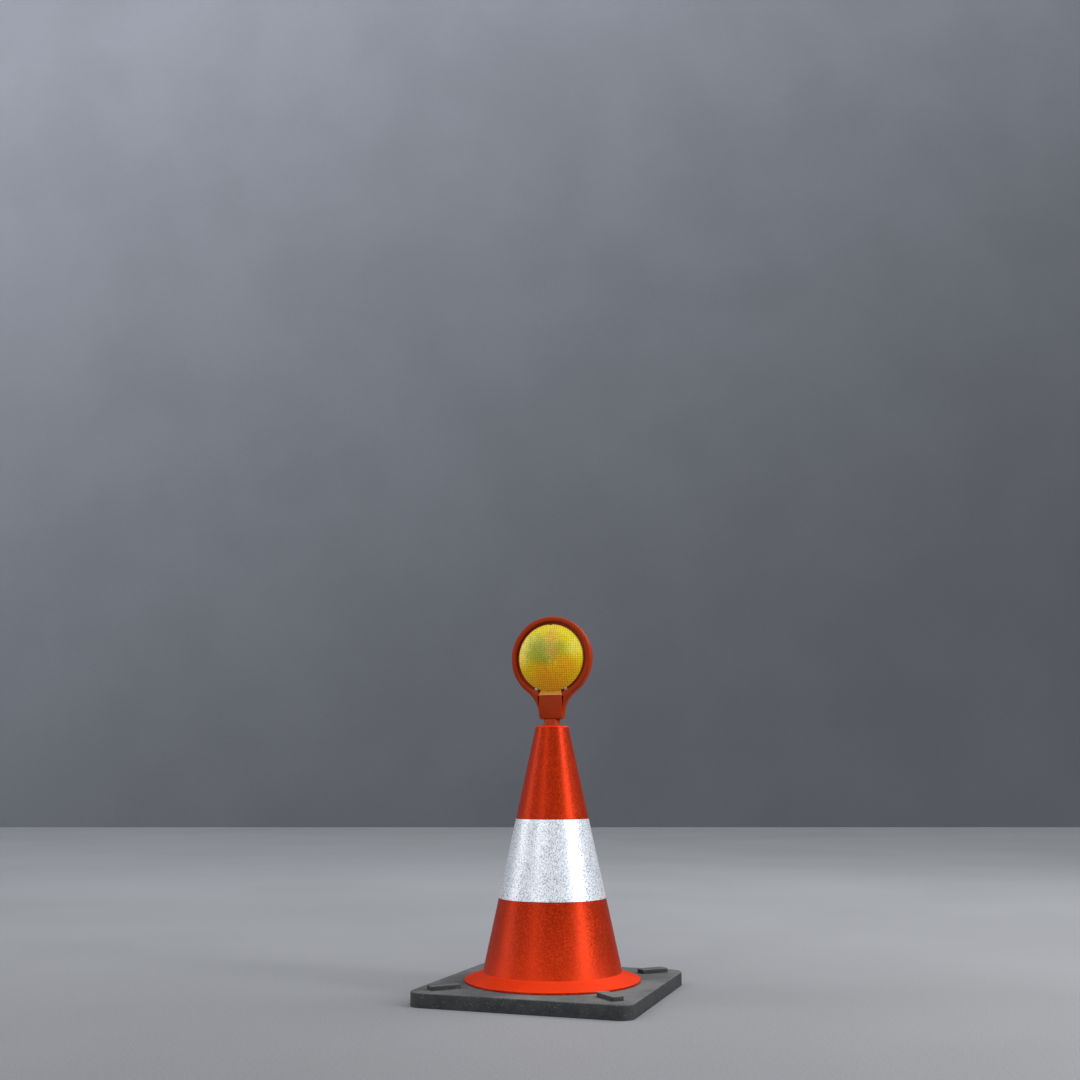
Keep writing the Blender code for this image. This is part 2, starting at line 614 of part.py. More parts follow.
def make_shells(looks, front, rear):
    """Front and rear housing shells with every opening that their contents need."""
    shell = shell_blank("front_shell", front, looks["housing_plastic"], BLOCK_FRONT, BLOCK_TOP + REACH)
    notch_half = TONGUE_FOOT_HALF + GAP
    notch = box((-notch_half, BLOCK_TOP, WEB_DEPTH + GAP), (notch_half, 0, BLOCK_REAR))
    cut(shell, notch, front)
    channel_low = CASE_LOW + CAVITY_HIGH - REACH
    channel = box((-CHANNEL_HALF, channel_low, -REACH), (CHANNEL_HALF, REACH - OPENING_RADIUS, CHANNEL_DEPTH))
    cut(shell, channel, front)
    for x, y in shell_screw_spots():
        cut(shell, disc(SCREW_HOLE, -REACH, SHELL_SCREW_REACH + REACH, TINY_ROUND), front, (-x, y, 0))

    top = -WELL_RADIUS - GAP
    shell = shell_blank("rear_shell", rear, looks["housing_plastic"], BLOCK_REAR, top)
    recess = rectangle(DOOR_HALF + GAP, DOOR_LOW - GAP, DOOR_HIGH + GAP)
    cut(shell, skinned([at_depth(recess, LEDGE_DEPTH), at_depth(recess, BLOCK_REAR + REACH)]), rear)
    bay = rectangle(LEDGE_HALF, DOOR_LOW + LEDGE_WIDTH, DOOR_HIGH - LEDGE_WIDTH)
    cut(shell, skinned([at_depth(bay, CAVITY_DEPTH - REACH), at_depth(bay, LEDGE_DEPTH + REACH)]), rear)
    pocket_low = CASE_LOW + CAVITY_HIGH - REACH
    pocket = rectangle(POCKET_HALF, pocket_low, CASE_LOW + CAVITY_HIGH + POCKET_HEIGHT)
    cut(shell, skinned([at_depth(pocket, -REACH), at_depth(pocket, POCKET_DEPTH)]), rear)
    button_hole = disc(BUTTON_RADIUS + GAP, POCKET_DEPTH - REACH, BLOCK_REAR + REACH)
    cut(shell, button_hole, rear, (0, BUTTON_Y, 0))
    for x, y in shell_screw_spots():
        cut(shell, disc(SCREW_HOLE, -REACH, RING_DEPTH + REACH, TINY_ROUND), rear, (x, y, 0))
        seat = disc(SCREW_HEAD + 2 * GAP, SHELL_SCREW_SEAT - GAP, RING_DEPTH + REACH, HEAD_ROUND)
        cut(shell, seat, rear, (x, y, 0))
    across = (0, math.pi / 2, 0)
    for hand in (-1, 1):
        near = DOOR_KNUCKLE_HALF + GAP
        far = near + SHELL_KNUCKLE
        low_x, high_x = sorted((hand * near, hand * far))
        barrel = disc(KNUCKLE_RADIUS, low_x, high_x)
        leg = box((low_x, CASE_LOW + 3 * GAP, BLOCK_REAR - REACH), (high_x, HINGE_Y + GAP, HINGE_DEPTH))
        join(shell, leg, rear)
        join(shell, barrel, rear, (0, HINGE_Y, HINGE_DEPTH), across)
    reach = DOOR_KNUCKLE_HALF + SHELL_KNUCKLE + REACH
    cut(shell, disc(PIN_RADIUS + GAP / 2, -reach, reach, TINY_ROUND), rear, (0, HINGE_Y, HINGE_DEPTH), across)


def make_stem(looks, lamp):
    """Stem that drops into the collar. Its neck passes through the case floor and is held by a flange."""
    low = COLLAR_LOW + COLLAR_FLOOR + GAP - LAMP_Z
    top = CASE_LOW - GAP
    flange_low = CASE_LOW + CASE_FLOOR + GAP
    flange_high = flange_low + STEM_FLANGE
    bore = STEM_RADIUS - STEM_WALL
    stem = [
        (0, top - STEM_WALL),
        (bore, top - STEM_WALL),
        (bore, low),
        (STEM_RADIUS - REACH, low),
        (STEM_RADIUS, low + REACH),
        (STEM_RADIUS, top),
        (NECK_RADIUS, top),
        (NECK_RADIUS, flange_low),
        (NECK_FLANGE, flange_low),
        (NECK_FLANGE, flange_high),
        (0, flange_high),
    ]
    add_piece("lamp_stem", spun(stem, STEM_ROUND), looks["housing_plastic"], lamp)


def make_lens(name, side, look, with_tongue):
    """Domed lens with screw ears, an index notch at its top and, in front, a sloped tongue over the case."""
    sphere = (LENS_RADIUS**2 + LENS_RISE**2) / (2 * LENS_RISE)
    centre = LENS_EDGE + LENS_RISE - sphere
    inner_radius = LENS_RADIUS - LENS_WALL
    inner_sphere = sphere - LENS_WALL
    steps = DOME_STEPS
    profile = [(inner_radius, LENS_SEAT), (LENS_RADIUS, LENS_SEAT)]
    for step in range(steps):
        r = LENS_RADIUS * (1 - step / steps)
        profile.append((r, centre + math.sqrt(sphere**2 - r**2)))
    profile.append((0, centre + sphere))
    inner = [(0, centre + inner_sphere)]
    for step in range(1, steps + 1):
        r = inner_radius * step / steps
        inner.append((r, centre + math.sqrt(inner_sphere**2 - r**2)))
    lens = add_piece(name, spun(inner + profile, LENS_ROUND), look, side)
    for x, y in lens_screw_spots():
        join(lens, disc(EAR_RADIUS, LENS_SEAT, LENS_SEAT + EAR_THICKNESS), side, (x, y, 0))
    if with_tongue:
        low, high = BLOCK_TOP + GAP, BLOCK_TOP + TONGUE_HEIGHT
        back = LENS_SEAT + GAP
        foot = [(-TONGUE_FOOT_HALF, low, back), (-TONGUE_FOOT_HALF, low, BLOCK_FRONT - GAP)]
        foot += [(TONGUE_FOOT_HALF, low, BLOCK_FRONT - GAP), (TONGUE_FOOT_HALF, low, back)]
        head = [(-TONGUE_TOP_HALF, high, back), (-TONGUE_TOP_HALF, high, LENS_EDGE - REACH)]
        head += [(TONGUE_TOP_HALF, high, LENS_EDGE - REACH), (TONGUE_TOP_HALF, high, back)]
        join(lens, skinned([foot, head]), side)
        hollow = disc(inner_radius, back - REACH, LENS_EDGE - REACH / 2, LENS_ROUND)
        cut(lens, hollow, side)
    for x, y in lens_screw_spots():
        cut(lens, disc(SCREW_HOLE, LENS_SEAT - REACH, LENS_EDGE, TINY_ROUND), side, (x, y, 0))
        seat = disc(SCREW_HEAD + HEAD_CLEAR, HEAD_SEAT - HEAD_CLEAR, LENS_EDGE + LENS_RISE)
        cut(lens, seat, side, (x, y, 0))
    notch_low = (-NOTCH_HALF, LENS_RADIUS - NOTCH_DEPTH, LENS_SEAT - REACH)
    cut(lens, box(notch_low, (NOTCH_HALF, WELL_RADIUS, LENS_EDGE + LENS_RISE)), side)


def screw(name, length, look, side, spot, seat):
    """Slotted cheese-head screw whose head rests at the seat depth and whose shank runs inwards."""
    profile = [
        (0, -length),
        (SCREW_RADIUS, -length),
        (SCREW_RADIUS, 0),
        (SCREW_HEAD, 0),
        (SCREW_HEAD, SCREW_HEAD_HEIGHT * HEAD_SIDE),
        (SCREW_HEAD * HEAD_TOP, SCREW_HEAD_HEIGHT),
        (0, SCREW_HEAD_HEIGHT),
    ]
    made = add_piece(name, spun(profile, TINY_ROUND), look, side, (*spot, seat))
    half = SCREW_SLOT / 2
    slot_low = (-half, -2 * SCREW_HEAD, SCREW_HEAD_HEIGHT - SCREW_SLOT)
    slot = box(slot_low, (half, 2 * SCREW_HEAD, 2 * SCREW_HEAD_HEIGHT))
    cut(made, slot, side, (*spot, seat), (0, 0, SCREW_TURN))


def make_optics(looks, front, rear):
    """Lenses, their gaskets and screws, and each side's reflector and light-emitting diode."""
    for name, side, tongue in (("front", front, True), ("rear", rear, False)):
        make_lens(f"{name}_lens", side, looks["lens_amber"], tongue)
        outer = LENS_RADIUS - GASKET_INSET
        low = WEB_DEPTH + GAP
        gasket = tube(outer - GASKET_WIDTH, outer, low, low + GASKET_THICKNESS, LENS_ROUND)
        add_piece(f"{name}_lens_gasket", gasket, looks["gasket_rubber"], side)
        for hand, (x, y) in zip(("left", "right"), lens_screw_spots()):
            length = HEAD_SEAT - GAP
            screw(f"{name}_lens_screw_{hand}", length, looks["screw_steel"], side, (x, y), HEAD_SEAT)
        throat = LED_FLANGE + 2 * GAP
        rise = REFLECTOR_DEPTH / (REFLECTOR_MOUTH**2 - throat**2)
        bowl = []
        for step in range(BOWL_STEPS + 1):
            r = throat + (REFLECTOR_MOUTH - throat) * step / BOWL_STEPS
            bowl.append((r, BOARD_FACE + rise * (r**2 - throat**2)))
        outside = [(r + REFLECTOR_WALL, u) for r, u in reversed(bowl)]
        add_piece(f"{name}_reflector", spun(bowl + outside, SMALL_ROUND), looks["reflector_metal"], side)
        dome = LED_HEIGHT - LED_RADIUS + BOARD_FACE
        led = [(0, BOARD_FACE), (LED_FLANGE, BOARD_FACE), (LED_FLANGE, BOARD_FACE + REACH)]
        led.append((LED_RADIUS, BOARD_FACE + REACH))
        for step in range(LED_STEPS):
            angle = math.pi / 2 * step / LED_STEPS
            led.append((LED_RADIUS * math.cos(angle), dome + LED_RADIUS * math.sin(angle)))
        led.append((0, dome + LED_RADIUS))
        add_piece(f"{name}_led", spun(led, HEAD_ROUND), looks["led_clear"], side)


def make_electronics(looks, front, rear):
    """Circuit board with the parts that time the flashes and sense the dark, and the button's switch."""
    half = BOARD_THICKNESS / 2
    add_piece("circuit_board", disc(BOARD_RADIUS, -half, half, ROUND), looks["board_green"], front)
    cell = disc(PHOTOCELL_RADIUS, BOARD_FACE, BOARD_FACE + PHOTOCELL_HEIGHT)
    add_piece("photocell", cell, looks["photocell_dark"], front, (0, PHOTOCELL_RISE, 0))
    chip_half = CHIP_SIDE / 2
    chip = box((-chip_half, -chip_half, BOARD_FACE), (chip_half, chip_half, BOARD_FACE + CHIP_THICKNESS))
    add_piece("flasher_chip", chip, looks["chip_black"], front, (0, -CHIP_DROP, 0))
    can = disc(CAPACITOR_RADIUS, BOARD_FACE, BOARD_FACE + CAPACITOR_HEIGHT)
    spot = (CAPACITOR_SPREAD, -CAPACITOR_SPREAD / 2, 0)
    add_piece("timing_capacitor", can, looks["capacitor_sleeve"], front, spot)
    low = CASE_LOW + CAVITY_HIGH + GAP
    high = CASE_LOW + CAVITY_HIGH + POCKET_HEIGHT - GAP
    depth = BUTTON_SEAT - BUTTON_TRAVEL - GAP
    body = box((-SWITCH_HALF, low, SWITCH_BACK), (SWITCH_HALF, high, depth))
    add_piece("switch_body", body, looks["chip_black"], rear)


def make_cell(name, look, lamp, x, base, flip):
    """One battery cell, its nub up or down."""
    edge = CELL_NUB / 2
    profile = [(0, 0), (CELL_RADIUS - edge, 0), (CELL_RADIUS, edge), (CELL_RADIUS, CELL_LENGTH - edge)]
    profile += [(CELL_RADIUS - edge, CELL_LENGTH), (CELL_NUB_RADIUS, CELL_LENGTH)]
    profile += [(CELL_NUB_RADIUS, CELL_LENGTH + CELL_NUB), (0, CELL_LENGTH + CELL_NUB)]
    turn = (math.pi, 0, 0) if flip else (0, 0, 0)
    add_piece(name, spun(profile, SMALL_ROUND), look, lamp, (x, 0, base), turn)


def make_power(looks, lamp):
    """Cradle, two cells in series, their springs and contacts, and the leads up to the board."""
    deep = CAVITY_DEPTH - GAP
    open_side = CELL_RADIUS - GAP
    floor, ceiling = CASE_LOW + CRADLE_LOW, CASE_LOW + CRADLE_HIGH
    back = -deep + CRADLE_WALL
    section = [
        (-deep, floor),
        (open_side, floor),
        (open_side, floor + CRADLE_WALL),
        (back, floor + CRADLE_WALL),
        (back, ceiling - CRADLE_WALL),
        (open_side, ceiling - CRADLE_WALL),
        (open_side, ceiling),
        (-deep, ceiling),
    ]
    half = CAVITY_HALF - GAP
    loops = [[(x, y, z) for y, z in section] for x in (-half, half)]
    add_piece("battery_cradle", skinned(loops), looks["cradle_plastic"], lamp)

    spot = CELL_PITCH / 2
    low, high = CASE_LOW + STACK_LOW, CASE_LOW + STACK_HIGH
    make_cell("battery_left", looks["cell_wrap"], lamp, -spot, low + SPRING_HEIGHT + GAP, False)
    make_cell("battery_right", looks["cell_wrap"], lamp, spot, high - SPRING_HEIGHT - GAP, True)
    for hand, x, foot in (("left", -spot, low), ("right", spot, high - SPRING_HEIGHT)):
        points = []
        count = int(SPRING_TURNS * SPRING_STEPS)
        for step in range(count + 1):
            angle = math.tau * SPRING_TURNS * step / count
            z = foot + SPRING_WIRE + (SPRING_HEIGHT - 2 * SPRING_WIRE) * step / count
            points.append((x + SPRING_RADIUS * math.cos(angle), SPRING_RADIUS * math.sin(angle), z))
        wire(f"battery_spring_{hand}", points, SPRING_WIRE, looks["spring_steel"], lamp)

    strip = spot + SPRING_RADIUS + REACH
    strip_half = SPRING_RADIUS + REACH
    contact_z = CASE_LOW + CONTACT_LOW
    bridge = box((-strip, -strip_half, contact_z), (strip, strip_half, contact_z + CONTACT))
    add_piece("contact_bridge", bridge, looks["contact_brass"], lamp)
    contact_z = CASE_LOW + CONTACT_HIGH
    for name, hand in (("contact_positive", -1), ("contact_negative", 1)):
        near, far = sorted((hand * LEAD_SPREAD, hand * strip))
        plate = box((near, -strip_half, contact_z), (far, strip_half, contact_z + CONTACT))
        add_piece(name, plate, looks["contact_brass"], lamp)

    depth = -(CHANNEL_DEPTH + BOARD_THICKNESS / 2) / 2
    start = ceiling + GAP
    end = REACH - OPENING_RADIUS
    for name, hand in (("lead_positive", -1), ("lead_negative", 1)):
        points = [(hand * LEAD_SPREAD, depth, start + (end - start) * step / LEAD_STEPS)
                  for step in range(LEAD_STEPS + 1)]
        wire(name, points, LEAD_RADIUS, looks[name], lamp)


def make_door(looks, rear):
    """Battery door on its hinge pin, its seal, and the quarter-turn lock with its cam."""
    seal = rectangle(DOOR_HALF - GAP, DOOR_LOW + GAP, DOOR_HIGH - GAP)
    mouth = rectangle(LEDGE_HALF + GAP, DOOR_LOW + LEDGE_WIDTH - GAP, DOOR_HIGH - LEDGE_WIDTH + GAP)
    low, high = LEDGE_DEPTH + GAP, LEDGE_DEPTH + GAP + SEAL_THICKNESS
    loops = [at_depth(seal, low), at_depth(seal, high), at_depth(mouth, high), at_depth(mouth, low)]
    add_piece("door_seal", skinned(loops, ring=True), looks["gasket_rubber"], rear)

    across = (0, math.pi / 2, 0)
    reach = DOOR_KNUCKLE_HALF + SHELL_KNUCKLE
    pin = disc(PIN_RADIUS, -reach, reach, TINY_ROUND)
    add_piece("door_hinge_pin", pin, looks["screw_steel"], rear, (0, HINGE_Y, HINGE_DEPTH), across)

    hinge = empty("door_hinge", rear, (0, HINGE_Y, HINGE_DEPTH))
    low, high = DOOR_LOW - HINGE_Y, DOOR_HIGH - HINGE_Y
    inner, outer = DOOR_INNER - HINGE_DEPTH, BLOCK_REAR - HINGE_DEPTH
    edge = 2 * GAP
    panel = rectangle(DOOR_HALF, low, high)
    shrunk = rectangle(DOOR_HALF - edge, low + edge, high - edge)
    loops = [at_depth(panel, inner), at_depth(panel, outer - edge), at_depth(shrunk, outer)]
    door = add_piece("battery_door", skinned(loops), looks["door_plastic"], hinge)
    leaf_section = [
        (outer + GAP, 0),
        (KNUCKLE_RADIUS, 0),
        (KNUCKLE_RADIUS, low + KNUCKLE_RADIUS),
        (outer - edge, low + LEAF_RISE),
        (outer - edge, low + edge),
        (outer + GAP, low + edge),
    ]
    half = DOOR_KNUCKLE_HALF
    join(door, skinned([[(x, y, z) for z, y in leaf_section] for x in (-half, half)]), hinge)
    join(door, disc(KNUCKLE_RADIUS, -half, half), hinge, (0, 0, 0), across)
    cut(door, disc(PIN_RADIUS + GAP, -half - REACH, half + REACH, TINY_ROUND), hinge, (0, 0, 0), across)
    lock_y = LOCK_Y - HINGE_Y
    cut(door, disc(LOCK_SHANK + GAP, inner - REACH, outer + REACH), hinge, (0, lock_y, 0))

    lock = empty("lock_axis", hinge, (0, lock_y, 0))
    cam_high = CAVITY_DEPTH - GAP - HINGE_DEPTH
    cam_low = cam_high - CAM_THICKNESS
    knob = [
        (0, cam_high + GAP),
        (LOCK_SHANK, cam_high + GAP),
        (LOCK_SHANK, outer + GAP),
        (LOCK_HEAD, outer + GAP),
        (LOCK_HEAD, outer + LOCK_HEAD_HEIGHT * LOCK_SIDE),
        (LOCK_HEAD * LOCK_TOP, outer + GAP + LOCK_HEAD_HEIGHT),
        (0, outer + GAP + LOCK_HEAD_HEIGHT),
    ]
    turn = add_piece("lock_knob", spun(knob, KNOB_ROUND), looks["screw_steel"], lock)
    slot_low = outer + GAP + LOCK_HEAD_HEIGHT - SCREW_SLOT
    slot_high = slot_low + 2 * LOCK_HEAD_HEIGHT
    slot = box((-LOCK_HEAD * 2, -LOCK_SLOT_HALF, slot_low), (LOCK_HEAD * 2, LOCK_SLOT_HALF, slot_high))
    cut(turn, slot, lock)
    outline = [(0, -CAM_HALF), (CAM_LENGTH, -CAM_HALF), (CAM_LENGTH, CAM_HALF), (0, CAM_HALF), (-CAM_HALF, 0)]
    cam = skinned([at_depth(outline, cam_low), at_depth(outline, cam_high)])
    add_piece("lock_cam", cam, looks["spring_steel"], lock)


def make_button(looks, rear):
    """Power button that springs out of the rear wall, with a bezel round it."""
    axis = empty("button_axis", rear, (0, BUTTON_Y, 0))
    high = BLOCK_REAR + BUTTON_STANDS
    profile = [
        (0, BUTTON_SEAT),
        (BUTTON_FLANGE, BUTTON_SEAT),
        (BUTTON_FLANGE, BUTTON_SEAT + BUTTON_FLANGE_THICKNESS),
        (BUTTON_RADIUS, BUTTON_SEAT + BUTTON_FLANGE_THICKNESS),
        (BUTTON_RADIUS, high - GAP),
        (BUTTON_RADIUS - GAP, high),
        (0, high),
    ]
    add_piece("power_button", spun(profile, KNOB_ROUND), looks["button_rubber"], axis)
    inner = BUTTON_RADIUS + GAP
    low = BLOCK_REAR + GAP
    bezel = tube(inner, inner + BEZEL_WIDTH, low, low + BEZEL_THICKNESS, SMALL_ROUND)
    add_piece("button_bezel", bezel, looks["chip_black"], rear, (0, BUTTON_Y, 0))


def make_lamp(looks, swivel):
    """Everything that lifts out of the cone with the lamp."""
    lamp = empty("lamp_axis", swivel, (0, 0, LAMP_Z - CONE_HEIGHT))
    front = empty("front_side", lamp, (0, 0, 0), (math.pi / 2, 0, 0))
    rear = empty("rear_side", lamp, (0, 0, 0), (math.pi / 2, 0, math.pi))
    make_shells(looks, front, rear)
    make_stem(looks, lamp)
    make_optics(looks, front, rear)
    make_electronics(looks, front, rear)
    make_power(looks, lamp)
    length = SHELL_SCREW_SEAT + SHELL_SCREW_REACH
    for number, spot in enumerate(shell_screw_spots(), 1):
        screw(f"shell_screw_{number}", length, looks["screw_steel"], rear, spot, SHELL_SCREW_SEAT)
    make_door(looks, rear)
    make_button(looks, rear)


def make_looks():
    """One material for each kind of sub-part."""
    table = {
        "cone_plastic": ((0.72, 0.10, 0.025), 0.38, 0.0),
        "sleeve_film": ((0.80, 0.82, 0.84), 0.35, 0.0),
        "base_rubber": ((0.045, 0.048, 0.048), 0.75, 0.0),
        "lock_ring_plastic": ((0.03, 0.03, 0.03), 0.6, 0.0),
        "collar_plastic": ((0.36, 0.035, 0.006), 0.5, 0.0),
        "washer_plastic": ((0.36, 0.035, 0.006), 0.5, 0.0),
        "spring_steel": ((0.6, 0.6, 0.6), 0.3, 1.0),
        "housing_plastic": ((0.46, 0.045, 0.008), 0.4, 0.0),
        "lens_amber": ((0.75, 0.42, 0.03), 0.2, 0.0),
        "gasket_rubber": ((0.02, 0.02, 0.02), 0.8, 0.0),
        "board_green": ((0.05, 0.22, 0.07), 0.45, 0.0),
        "reflector_metal": ((0.8, 0.8, 0.8), 0.12, 1.0),
        "led_clear": ((0.9, 0.55, 0.15), 0.1, 0.0),
        "photocell_dark": ((0.25, 0.08, 0.03), 0.3, 0.0),
        "chip_black": ((0.02, 0.02, 0.02), 0.5, 0.0),
        "capacitor_sleeve": ((0.05, 0.08, 0.25), 0.4, 0.0),
        "cradle_plastic": ((0.05, 0.05, 0.05), 0.6, 0.0),
        "cell_wrap": ((0.35, 0.35, 0.37), 0.35, 0.3),
        "contact_brass": ((0.75, 0.68, 0.5), 0.3, 1.0),
        "lead_positive": ((0.5, 0.02, 0.02), 0.5, 0.0),
        "lead_negative": ((0.02, 0.02, 0.02), 0.5, 0.0),
        "door_plastic": ((0.46, 0.045, 0.008), 0.42, 0.0),
        "screw_steel": ((0.72, 0.72, 0.72), 0.25, 1.0),
        "button_rubber": ((0.03, 0.03, 0.03), 0.7, 0.0),
    }
    return {name: make_material(name, *values) for name, values in table.items()}


def main():
    """Clears the scene and makes the whole object."""
    for old in list(bpy.data.objects):
        bpy.data.objects.remove(old)
    looks = make_looks()
    make_stand(looks)
    make_lamp(looks, make_swivel(looks))


main()
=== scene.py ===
"""Looks of a cone-mounted warning light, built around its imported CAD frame.

Metres, +Z up, front towards -Y. A side of the lamp is modelled flat in its own frame: x across, y up from the
lens centre, z outwards from the plane where the two housing halves meet. FRONT and REAR stand it upright.
"""

import json
import logging
import math
from collections.abc import Callable, Iterator, Sequence
from contextlib import contextmanager
from dataclasses import dataclass, field
from enum import Enum

import bmesh
import bpy
from mathutils import Matrix, Vector


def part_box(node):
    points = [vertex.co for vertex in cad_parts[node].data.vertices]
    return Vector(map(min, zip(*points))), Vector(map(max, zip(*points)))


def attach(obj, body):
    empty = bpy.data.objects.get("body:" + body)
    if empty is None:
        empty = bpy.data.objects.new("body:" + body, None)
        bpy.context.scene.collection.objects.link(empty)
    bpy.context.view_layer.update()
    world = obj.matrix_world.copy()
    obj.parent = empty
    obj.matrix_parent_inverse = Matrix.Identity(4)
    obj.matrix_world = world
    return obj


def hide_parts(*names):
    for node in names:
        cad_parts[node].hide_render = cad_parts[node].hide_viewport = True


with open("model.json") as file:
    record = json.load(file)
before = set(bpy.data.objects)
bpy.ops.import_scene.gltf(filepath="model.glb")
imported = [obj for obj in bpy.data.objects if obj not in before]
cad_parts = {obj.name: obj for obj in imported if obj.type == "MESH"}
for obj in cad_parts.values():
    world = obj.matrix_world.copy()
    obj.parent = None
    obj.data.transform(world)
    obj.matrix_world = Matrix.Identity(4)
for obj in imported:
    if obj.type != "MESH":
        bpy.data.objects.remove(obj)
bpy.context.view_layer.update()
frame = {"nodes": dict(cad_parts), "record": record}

LOG = logging.getLogger("warning_light")

Point = tuple[float, float]
Colour = tuple[float, float, float]
Socket = bpy.types.NodeSocket
Value = float | Socket

GAP = 0.0003  # left between faces that touch
REACH = 0.002  # how far a cutter runs past the face that it opens
MERGE = 0.00001  # points closer than this are one
SMOOTH = math.radians(32)  # edges sharper than this stay sharp
LAMP_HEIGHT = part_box("front_shell")[1].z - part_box("front_shell")[1].x  # the lens centre, a ring's radius down


class Segments(Enum):
    """How finely a round piece is turned."""

    LARGE = 144
    MEDIUM = 96
    SMALL = 48
    TINY = 28


# ----------------------------------------------------------------------------------------------------------
# Shader wiring


class Wiring:
    """Adds and links the nodes of a material or of a node group."""

    def __init__(self, tree: bpy.types.NodeTree) -> None:
        """Works on the tree.

        Args:
            tree: The node tree to add to.
        """
        self.tree = tree

    def feed(self, socket: Socket, value: Value | Sequence[float]) -> None:
        """Links a socket to another, or sets its constant."""
        if isinstance(value, bpy.types.NodeSocket):
            self.tree.links.new(value, socket)
        else:
            socket.default_value = value

    def node(self, kind: str, feeds: dict | None = None, **settings: object) -> bpy.types.Node:
        """Adds a node.

        Args:
            kind: The node type's name after "ShaderNode".
            feeds: What each input takes, by its name or number.
            settings: Properties of the node.

        Returns:
            The node.
        """
        made = self.tree.nodes.new("ShaderNode" + kind)
        for name, value in settings.items():
            setattr(made, name, value)
        for key, value in (feeds or {}).items():
            self.feed(made.inputs[key], value)
        return made

    def math(self, operation: str, *values: Value, clamp: bool = False) -> Socket:
        """Adds a Math node and returns its result."""
        made = self.node("Math", dict(enumerate(values)), operation=operation, use_clamp=clamp)
        return made.outputs[0]

    def vector(self, operation: str, *values: Socket | Sequence[float], out: str = "Vector") -> Socket:
        """Adds a Vector Math node and returns its result."""
        return self.node("VectorMath", dict(enumerate(values)), operation=operation).outputs[out]

    def spread(
        self,
        value: Value,
        low: float,
        high: float,
        to_low: Value = 0.0,
        to_high: Value = 1.0,
    ) -> Socket:
        """Maps a range of values smoothly to another range, and clamps it.

        Args:
            value: What is mapped.
            low: Start of the range.
            high: End of the range.
            to_low: Result at the start.
            to_high: Result at the end.

        Returns:
            The mapped value.
        """
        feeds = {0: value, 1: low, 2: high, 3: to_low, 4: to_high}
        return self.node("MapRange", feeds, interpolation_type="SMOOTHSTEP").outputs[0]

    def blend(self, share: Value, low: Sequence[float] | Socket, high: Sequence[float] | Socket) -> Socket:
        """Mixes two colours by a share."""
        return self.node("Mix", {0: share, 6: low, 7: high}, data_type="RGBA").outputs[2]

    def noise(self, place: Socket, scale: Value, detail: float = 2.0, roughness: float = 0.5) -> Socket:
        """Adds a noise texture and returns its value."""
        feeds = {"Vector": place, "Scale": scale, "Detail": detail, "Roughness": roughness}
        return self.node("TexNoise", feeds).outputs[0]

    def place(self) -> Socket:
        """Object coordinates."""
        return self.node("TexCoord").outputs["Object"]


def opaque(colour: Colour) -> tuple[float, float, float, float]:
    """The colour with full alpha."""
    return (*colour, 1.0)


def new_group(name: str, inputs: dict[str, tuple[str, object]], outputs: dict[str, str]) -> tuple:
    """Starts a shader node group with named sockets.

    Args:
        name: Name of the group.
        inputs: Type and default value of each input.
        outputs: Type of each output.

    Returns:
        The group, its wiring, its input sockets by name, and its output node.
    """
    group = bpy.data.node_groups.new(name, "ShaderNodeTree")
    for socket, (kind, value) in inputs.items():
        made = group.interface.new_socket(socket, in_out="INPUT", socket_type="NodeSocket" + kind)
        if value is not None:
            made.default_value = value
    for socket, kind in outputs.items():
        group.interface.new_socket(socket, in_out="OUTPUT", socket_type="NodeSocket" + kind)
    start = group.nodes.new("NodeGroupInput")
    end = group.nodes.new("NodeGroupOutput")
    return group, Wiring(group), start.outputs, end


